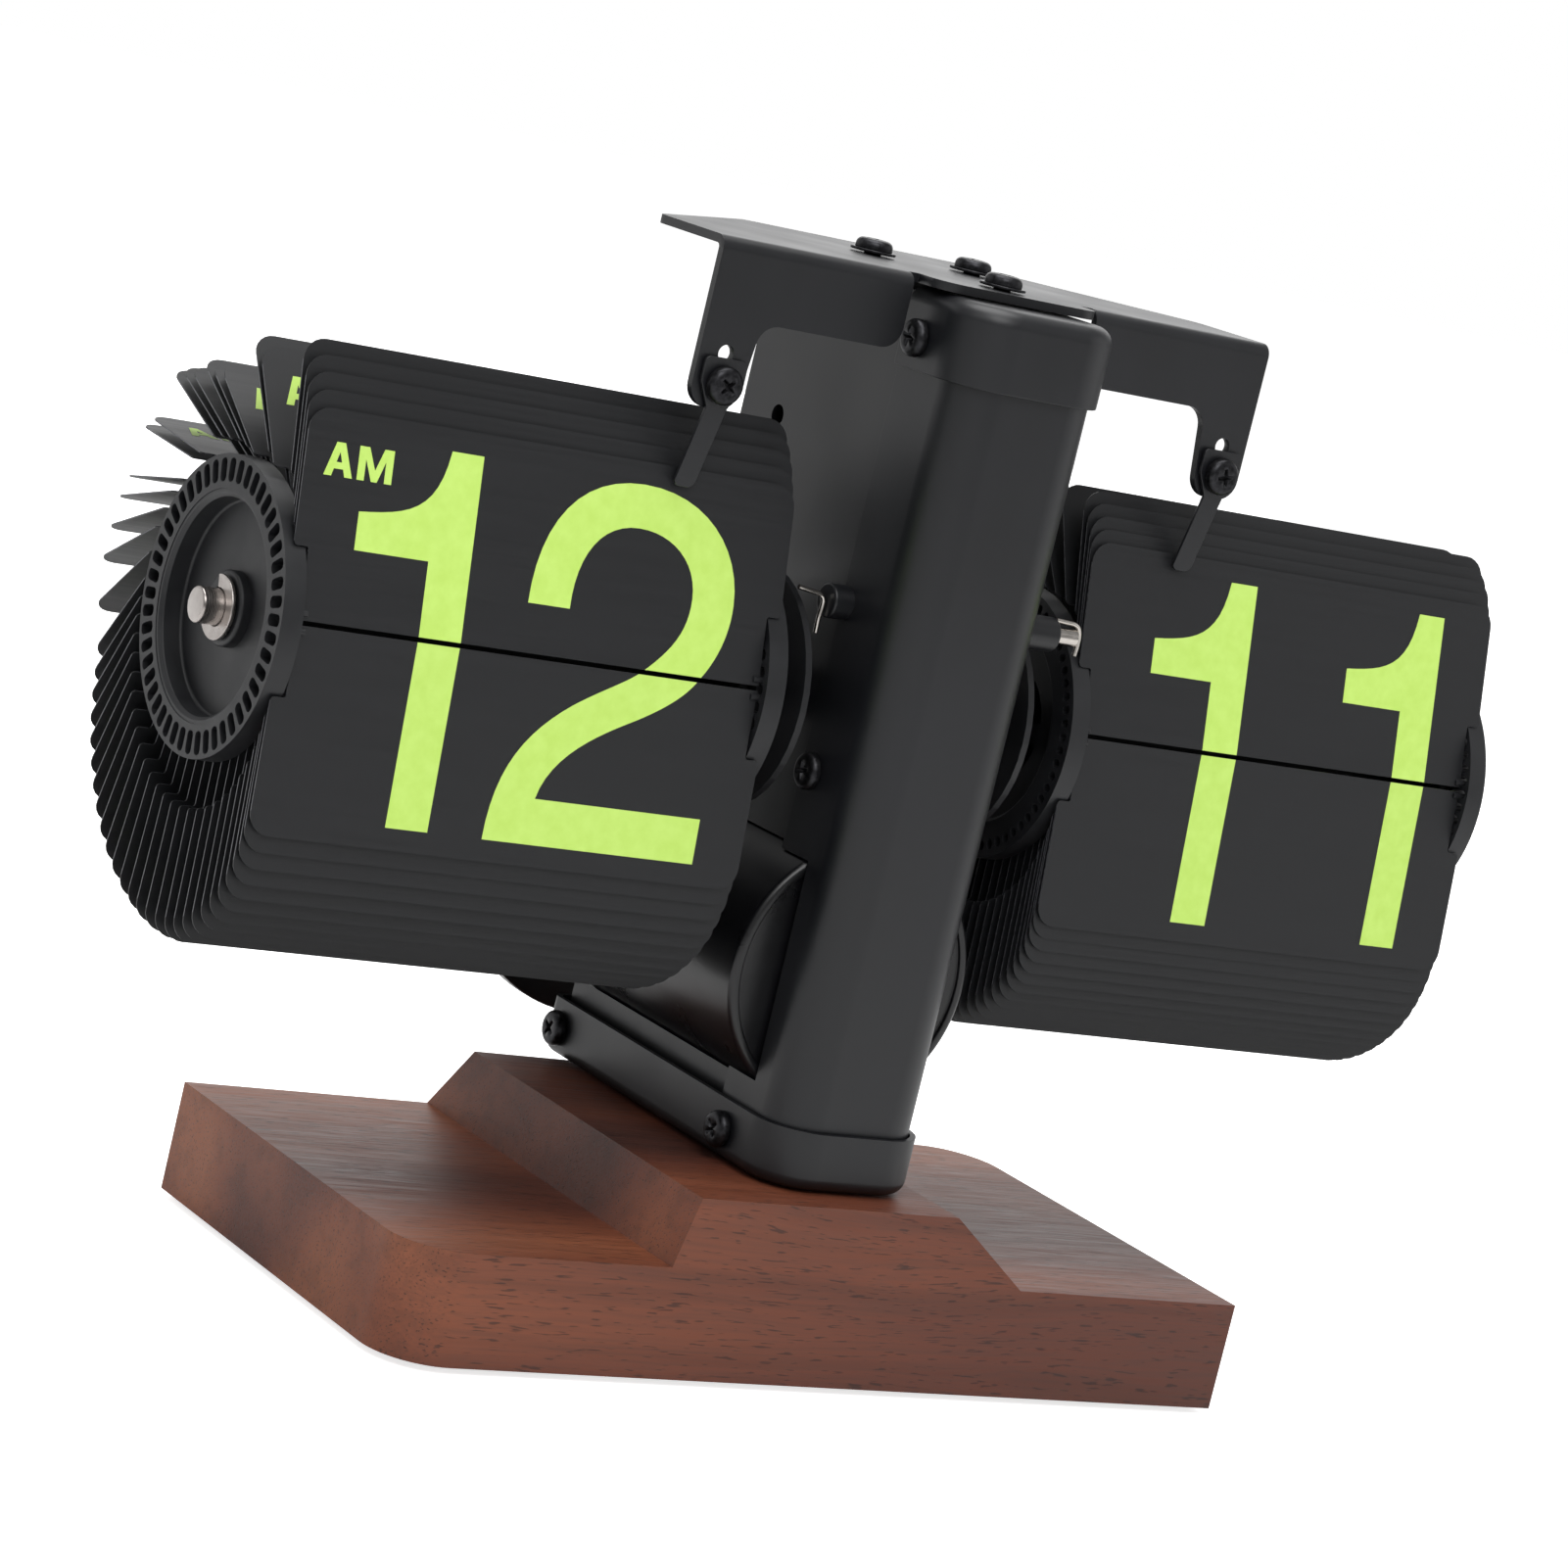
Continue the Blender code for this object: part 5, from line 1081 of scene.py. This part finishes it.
# Numerals, in millimetres from the middle of their cell and from the slit between the pages
STROKE = 6.2
ONE = [(8.5, 24.3), (8.5, -24.3), (2.3, -24.3), (2.3, 10.0), (-8.5, 10.0), (-8.5, 14.9),
       (-1.5, 15.5, 2.6, 16.2, 3.8, 24.3)]
TWO = [(-15.2, 6.75), (-15.0, 17.5, -9.5, 24.2, 0.1, 24.2), (10.0, 24.2, 16.0, 17.8, 16.0, 10.4),
       (16.0, 6.2, 14.3, 2.6, 12.1, 0.0), (10.6, -2.4, 7.6, -4.4, 3.6, -6.45),
       (-1.5, -8.9, -8.2, -12.3, -9.4, -18.25),
       (16.2, -18.25), (16.2, -24.3), (-16.2, -24.3), (-16.2, -14.5, -12.2, -9.6, -6.2, -5.55),
       (-2.2, -3.0, 1.3, -1.6, 3.2, 0.0), (7.2, 3.2, 9.5, 6.0, 9.5, 10.4),
       (9.5, 15.2, 5.4, 18.45, 0.1, 18.45),
       (-5.5, 18.45, -8.9, 14.0, -8.9, 6.75)]
STROKED = {
    "0": [[(0, 21.2), (9, 21.2, 12.9, 14, 12.9, 0), (12.9, -14, 9, -21.2, 0, -21.2),
           (-9, -21.2, -12.9, -14, -12.9, 0),
           (-12.9, 14, -9, 21.2, 0, 21.2)]],
    "3": [[(-12, 9.5), (-12, 17, -7, 21.2, 0, 21.2), (7, 21.2, 11.5, 17.5, 11.5, 12), (11.5, 6, 7, 2, -3, 2)],
          [(-3, 2), (8, 2, 13, -2, 13, -9.2), (13, -16.6, 7.6, -21.2, 0, -21.2),
          (-7.6, -21.2, -13, -16.6, -13, -9)]],
    "4": [[(4.6, 24.3), (-13.4, -9.6)], [(-15.6, -11.6), (16, -11.6)], [(6.4, 24.3), (6.4, -24.3)]],
    "5": [[(12.6, 21.2), (-9.2, 21.2), (-11.6, 0.2)],
          [(-11.6, 1.2), (-8, 4.4, -4, 5.6, 0, 5.6), (8, 5.6, 13, 0.4, 13, -7.6),
          (13, -16, 7.6, -21.2, 0, -21.2),
           (-7, -21.2, -12.4, -17.4, -13, -10.4)]],
    "6": [[(12, 12.6), (11, 18, 7, 21.2, 0.6, 21.2), (-8.6, 21.2, -12.9, 13, -12.9, -2),
           (-12.9, -14.4, -8, -21.2, 0, -21.2),
           (8, -21.2, 12.9, -15.6, 12.9, -7.8), (12.9, 0, 8, 5.2, 0.4, 5.2),
           (-7, 5.2, -12.4, 0.6, -12.9, -5)]],
    "7": [[(-15.6, 21.2), (14.6, 21.2)], [(13.2, 20.6), (4, 10, -4, -6, -5.4, -24.3)]],
    "8": [[(0, 21.2), (7, 21.2, 11.4, 17.4, 11.4, 11.8), (11.4, 6.2, 7, 2.4, 0, 2.4),
           (-7, 2.4, -11.4, 6.2, -11.4, 11.8),
           (-11.4, 17.4, -7, 21.2, 0, 21.2)],
          [(0, 2.4), (8, 2.4, 13, -2, 13, -9.4), (13, -16.8, 8, -21.2, 0, -21.2),
          (-8, -21.2, -13, -16.8, -13, -9.4),
           (-13, -2, -8, 2.4, 0, 2.4)]],
}
STROKED["9"] = [[tuple(-value for value in leg) for leg in path] for path in STROKED["6"]]
LETTERS = {
    "A": [[(-2.05, -2.15), (-0.62, 2.15), (0.62, 2.15), (2.05, -2.15), (0.95, -2.15), (0.66, -1.2),
           (-0.66, -1.2),
           (-0.95, -2.15)], [(-0.4, -0.35), (0.4, -0.35), (0.0, 0.95)]],
    "M": [[(-2.5, -2.15), (-2.5, 2.15), (-1.1, 2.15), (0.0, -0.7), (1.1, 2.15), (2.5, 2.15), (2.5, -2.15),
           (1.45, -2.15),
           (1.45, 0.6), (0.42, -2.15), (-0.42, -2.15), (-1.45, 0.6), (-1.45, -2.15)]],
    "P": [[(-1.8, -2.15), (-1.8, 2.15), (0.3, 2.15), (2.2, 2.15, 2.2, -0.75, 0.3, -0.75), (-0.7, -0.75),
           (-0.7, -2.15)],
          [(-0.7, 1.25), (0.2, 1.25), (0.95, 1.25, 0.95, 0.15, 0.2, 0.15), (-0.7, 0.15)]],
}
HOUR_CELLS = {1: (-61.7,), 2: (-81.4, -48.6)}
MINUTE_CELLS = (45.9, 80.9)
LETTER_CELLS = (-93.55, -88.35)
LETTER_HEIGHT = 20.95
PRINT_REACH = 24.3 * MM
NARROWED = 0.94


def drawn(character, x, y=0.0, width=1.0):
    """A character's outlines at its cell, as separate shapes with their holes."""
    if character == "1":
        shapes = [[traced(ONE)]]
    elif character == "2":
        shapes = [[traced(TWO)]]
    elif character in LETTERS:
        shapes = [[traced(path, 6) for path in LETTERS[character]]]
    else:
        shapes = [[stroked(path, STROKE)] for path in STROKED[character]]
    return [
        [[((px * width + x) * MM, (py + y) * MM) for px, py in outline] for outline in shape]
        for shape in shapes
    ]


def page_text(word, number):
    """What a page says: characters and the places of their cells."""
    if word == "minute":
        return list(zip(f"{number:02d}", MINUTE_CELLS))
    text = str((number - 1) % 12 + 1)
    return list(zip(text, HOUR_CELLS[len(text)]))


def half_print(word, count, number, upper, chord):
    """The upper or lower half of a page's print, flat in the leaf's own frame, on the side that shows."""
    shapes = []
    for character, x in page_text(word, number):
        shapes += drawn(character, x, width=NARROWED if word == "minute" and character != "1" else 1.0)
    if word == "hour" and upper:
        for character, x in zip("AM" if number % 24 < 12 else "PM", LETTER_CELLS):
            shapes += drawn(character, x, LETTER_HEIGHT)
    work = bmesh.new()
    for layer, shape in enumerate(shapes):
        mesh = plate_mesh(shape, INK * (1 + layer / 10))
        work.from_mesh(mesh)
        bpy.data.meshes.remove(mesh)
    side = 1 if upper else -1
    for edge, way in ((LEAF_SLIT / 2, -1), (PRINT_REACH, 1)):
        every = work.verts[:] + work.edges[:] + work.faces[:]
        bmesh.ops.bisect_plane(work, geom=every, plane_co=(0, side * edge, 0), plane_no=(0, side * way, 0),
                               clear_outer=True)
    mesh = bpy.data.meshes.new("print")
    work.to_mesh(mesh)
    work.free()
    turn = Matrix.Identity(4) if upper else Matrix.Diagonal((1, -1, -1, 1))
    lift = Matrix.Translation((0, 0, LEAF_SHEET / 2 + INK * 0.4))
    mesh.transform(Matrix.Translation((0, 0, -chord / 2)) @ FACING_Y @ turn @ lift)
    return mesh


def leaves():
    """Both drums' leaves, each by itself, with what is printed on them."""
    shown = {"hour": 0, "minute": 11}
    for word, sign in DRUMS.items():
        count = LEAVES[word]
        chord = 2 * HINGE_RADIUS * math.sin(HALF_TURN / count)
        mesh = leaf_mesh(sign, count)
        mesh.materials.append(LEAF)
        mesh.materials.append(LEAF_EDGE_HIGHLIGHT)
        for face in mesh.polygons:
            # Faces across the sheet, its cut rim, take the paler finish: a painted highlight along the leaf's
            # edges
            face.material_index = int(abs(face.normal.y) < 0.5 and face.area > LEAF_PIN * LEAF_PIN)
        mesh.shade_smooth()
        mesh.set_sharp_from_angle(angle=math.radians(32))
        prints = []
        for index in range(-1, count - 1):
            place = leaf_place(word, index)
            page = {0: "page_upper", -1: "page_lower"}.get(index)
            made = bpy.data.objects.new(f"{word}_leaf_{page or format(index + 1, '02d')}", mesh)
            bpy.context.scene.collection.objects.link(made)
            made.matrix_world = place
            body = f"{word}_flap" if index == -1 else "stand"
            stands_for = [f"{word}_{page}"] if page else ([f"{word}_leaf_pack"] if index == 1 else [])
            placed(made, LEAF, body, stands_for)
            number = shown[word] + index if word == "minute" else (shown[word] * 2 + index) // 2 % 24
            after = shown[word] + index + 1 if word == "minute" else (shown[word] * 2 + index + 1) // 2 % 24
            front = half_print(word, count, number % 60 if word == "minute" else number, True, chord)
            back = half_print(word, count, after % 60 if word == "minute" else after, False, chord)
            for half in (front, back):
                half.transform(place)
            if page:
                ink = shaped(f"{word}_print_{page}", joined([front, back]))
                placed(ink, LIME, body)
            else:
                prints += [front, back]
        placed(shaped(f"{word}_print_pack", joined(prints)), LIME, "stand")


# Battery housing and its rear closure
CAN_RIM = 1.5 * MM
GRIP_HALF, GRIP_WIDE, GRIP_CORNER = 12.0 * MM, 2.5 * MM, 2.3 * MM


def battery():
    """The glossy can, open at the back, and the lid with its grip bar."""
    length = CAN_HIGH.y - CAN_LOW.y
    wall = 1.4 * MM
    profile = rounded(
        [(0, wall, 0), (CAN_RADIUS - wall, wall, 0), (CAN_RADIUS - wall, length, 0),
         (CAN_RADIUS, length, 0.3 * MM), (CAN_RADIUS, 0, 0.9 * MM), (CAN_RADIUS - CAN_RIM, 0, 0.25 * MM),
         (CAN_RADIUS - CAN_RIM, CAN_RIM / 3, 0.15 * MM), (0, CAN_RIM / 3, 0)],
        8,
    )
    made = shaped("battery_can", turned_mesh(profile, (0, 1, 0), (0, CAN_LOW.y, CAN_AXIS.z), 128))
    placed(made, GLOSS, "stand", ["battery_housing"])
    low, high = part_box("battery_closure")
    grip = 1.6 * MM
    thick = high.y - low.y - grip
    radius = (high.x - low.x) / 2
    centre = (low.z + high.z) / 2
    disc = rounded([(0, thick, 0), (radius, thick, 1.3 * MM), (radius, 0, 0.3 * MM), (0, 0, 0)], 8)
    knob = rounded([(x, y, GRIP_CORNER) for x, y in (
        (-GRIP_HALF, -GRIP_WIDE), (GRIP_HALF, -GRIP_WIDE), (GRIP_HALF, GRIP_WIDE), (-GRIP_HALF, GRIP_WIDE)
    )], 8)
    bar = plate_mesh([knob], grip + GAP, FACING_Y, -high.y)
    bar.transform(Matrix.Translation((0, 0, centre)))
    blank = taken_eased(bar, 0.5 * MM)
    cover_mesh = joined([turned_mesh(disc, (0, 1, 0), (0, low.y, centre), 128), blank])
    placed(shaped("battery_lid", cover_mesh), GLOSS, "closure", ["battery_closure"])


# Detent springs
WIRE_RADIUS = 0.35 * MM
ROD_RADIUS = 1.2 * MM
ROD_LENGTH = 4.0 * MM
SEAT_LENGTH = 5.2 * MM
ROD_FRONT = 19.0 * MM
ROD_UP = 15.9 * MM


def wire_mesh(route, radius):
    """A round wire along points in the world, with softened bends."""
    line = bpy.data.curves.new("wire", "CURVE")
    line.dimensions = "3D"
    line.bevel_depth = radius
    line.bevel_resolution = 4
    line.use_fill_caps = True
    spline = line.splines.new("NURBS")
    spline.points.add(len(route) - 1)
    for point, place in zip(spline.points, route):
        point.co = (*place, 1)
    spline.use_endpoint_u = True
    spline.order_u = 3
    blank = bpy.data.objects.new("wire", line)
    bpy.context.scene.collection.objects.link(blank)
    bpy.context.view_layer.update()
    mesh = bpy.data.meshes.new_from_object(blank.evaluated_get(bpy.context.evaluated_depsgraph_get()))
    bpy.data.objects.remove(blank)
    return mesh


def springs():
    """A bent wire on each post's end, and the bright rod that steps out of the cover on the minute side."""
    steps = ((4.4, 1.2), (2.4, 0.9), (0.6, 0.7), (0.0, 0.0), (0.0, -1.2), (0.2, -2.6), (0.1, -4.6))
    for (word, sign), side in zip(DRUMS.items(), SIDES):
        tip = post_tip(side) + WIRE_RADIUS
        centre = Vector((sign * tip, AXIS.y - POST_FRONT, AXIS.z + POST_UP))
        route = [centre + Vector((sign * out, 0, up)) * MM for out, up in steps]
        made = shaped(f"detent_wire_{word}", wire_mesh(route, WIRE_RADIUS))
        placed(made, WIRE, "stand", [f"detent_spring_{word}"])
    start = Vector((COVER_HIGH.x, AXIS.y - ROD_FRONT, AXIS.z + ROD_UP))
    boss = [(0, SEAT_LENGTH, 0), (POST_RADIUS, SEAT_LENGTH, 0.4 * MM), (POST_RADIUS, 0, 0), (0, 0, 0)]
    seat = turned_mesh(rounded(boss, 5), (1, 0, 0), start, 48)
    placed(shaped("rod_seat", seat), PAINT, "stand")
    begin = start + Vector((SEAT_LENGTH, 0, 0))
    end = [(0, ROD_LENGTH, 0), (ROD_RADIUS, ROD_LENGTH, 0.3 * MM), (ROD_RADIUS, 0, 0), (0, 0, 0)]
    rod = turned_mesh(rounded(end, 5), (1, 0, 0), begin, 40)
    loops = ((0.2, 2.1), (1.8, 2.0), (3.6, 1.9), (4.4, 1.2), (4.7, -0.4), (4.5, -2.4))
    loop = wire_mesh([begin + Vector((out * MM, 0, up * MM)) for out, up in loops], WIRE_RADIUS)
    placed(shaped("bright_rod", joined([rod, loop])), WIRE, "stand")


def kept_solids():
    """Solids whose shape is right as packed, with their real finishes."""
    finishes = {
        BRASS: ("idler_gear", "motor_pinion"),
        STEEL: ("idler_arbor", "motor", "front_contact"),
        PLASTIC: ("hour_sleeve", "minute_sleeve"),
        WRAP: ("battery_cell",),
    }
    for material, nodes in finishes.items():
        for node in nodes:
            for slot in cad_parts[node].material_slots:
                slot.material = material


# Floor, light and camera
def studio():
    """A pale floor that runs into a white surround, lit by broad soft lamps."""
    side = 3.0
    mesh = bpy.data.meshes.new("floor")
    work = bmesh.new()
    bmesh.ops.create_grid(work, x_segments=8, y_segments=8, size=side)
    work.to_mesh(mesh)
    work.free()
    floor = bpy.data.objects.new("floor", mesh)
    bpy.context.scene.collection.objects.link(floor)
    floor.location.z = CAD_BOX[0].z - 0.02 * MM
    made = finish("pale_floor", ("#F0F0F0", "#F4F4F4"), 0.8, 0.0, [((120, 120, 120), 2.0)])
    tree = made.node_tree
    shader = tree.nodes["Principled BSDF"]
    seen = add_node(tree, "ShaderNodeLightPath").outputs["Is Camera Ray"]
    lift = add_node(tree, "ShaderNodeMath", {"operation": "MULTIPLY", 1: 0.75}, {0: seen}).outputs[0]
    glow = add_node(tree, "ShaderNodeEmission", {"Color": (1, 1, 1, 1)}, {"Strength": lift})
    both = add_node(tree, "ShaderNodeAddShader", {}, {0: shader.outputs[0], 1: glow.outputs[0]})
    tree.links.new(both.outputs[0], tree.nodes["Material Output"].inputs["Surface"])
    mesh.materials.append(made)

    world = bpy.data.worlds.new("white surround")
    bpy.context.scene.world = world
    world.use_nodes = True
    tree = world.node_tree
    path = add_node(tree, "ShaderNodeLightPath")
    soft = tree.nodes["Background"]
    soft.inputs["Color"].default_value = (1, 1, 1, 1)
    soft.inputs["Strength"].default_value = 0.32
    white = add_node(tree, "ShaderNodeBackground", {"Color": (1, 1, 1, 1), "Strength": 1.0})
    links = {0: path.outputs["Is Camera Ray"], 1: soft.outputs[0], 2: white.outputs[0]}
    mix = add_node(tree, "ShaderNodeMixShader", {}, links)
    tree.links.new(mix.outputs[0], tree.nodes["World Output"].inputs["Surface"])

    lamps = {
        "front_softbox": ((-0.35, -0.9, 1.1), 0.9, 8.5),
        "left_softbox": ((-1.0, -0.4, 0.9), 0.6, 1.2),
        "top_softbox": ((0.0, 0.1, 1.1), 0.9, 9.0),
        "right_card": ((1.2, -0.5, 0.45), 1.2, 2.0),
        "rear_card": ((0.8, 1.15, 0.45), 1.4, 6.0),
        "rear_left_card": ((-0.85, 1.15, 0.35), 1.4, 2.5),
    }
    for name, (place, size, watts) in lamps.items():
        light = bpy.data.lights.new(name, "AREA")
        light.shape = "DISK"
        light.size = size
        light.energy = watts
        lamp = bpy.data.objects.new(name, light)
        bpy.context.scene.collection.objects.link(lamp)
        lamp.location = place
        lamp.rotation_euler = (Vector((0, 0, 0.08)) - Vector(place)).to_track_quat("-Z", "Y").to_euler()

    bpy.context.scene.view_settings.view_transform = "Standard"


def camera():
    """The photograph's view: from the left front, a little above, turned on its own axis."""
    place = Vector((-396.5, -586.85, 186.7)) * MM
    swing, dip, roll = math.radians(34.06), math.radians(8.97), math.radians(13.54)
    ahead = Vector((math.sin(swing) * math.cos(dip), math.cos(swing) * math.cos(dip), -math.sin(dip)))
    level = Vector((math.cos(swing), -math.sin(swing), 0))
    upright = level.cross(ahead)
    right = math.cos(roll) * level + math.sin(roll) * upright
    up = math.cos(roll) * upright - math.sin(roll) * level
    data = bpy.data.cameras.new("photo view")
    data.sensor_width = 36.0
    data.lens = 117.08
    data.clip_start = 0.01
    data.clip_end = 20.0
    seen = bpy.data.objects.new("photo view", data)
    seen.matrix_world = Matrix.Translation(place) @ Matrix((right, up, -ahead)).transposed().to_4x4()
    bpy.context.scene.collection.objects.link(seen)
    bpy.context.scene.camera = seen


camera()
studio()
plinth()
feet()
shoe()
cover()
side_plates()
rear_sheet()
cap()
bracket_top = bracket()
for word in DRUMS:
    flap_stop(word, bracket_top)
screws()
for word, sign in DRUMS.items():
    wheel(f"{word}_wheel_outer", word, sign, True)
    wheel(f"{word}_wheel_inner", word, sign, False)
axle()
cores()
hubs()
leaves()
battery()
springs()
kept_solids()
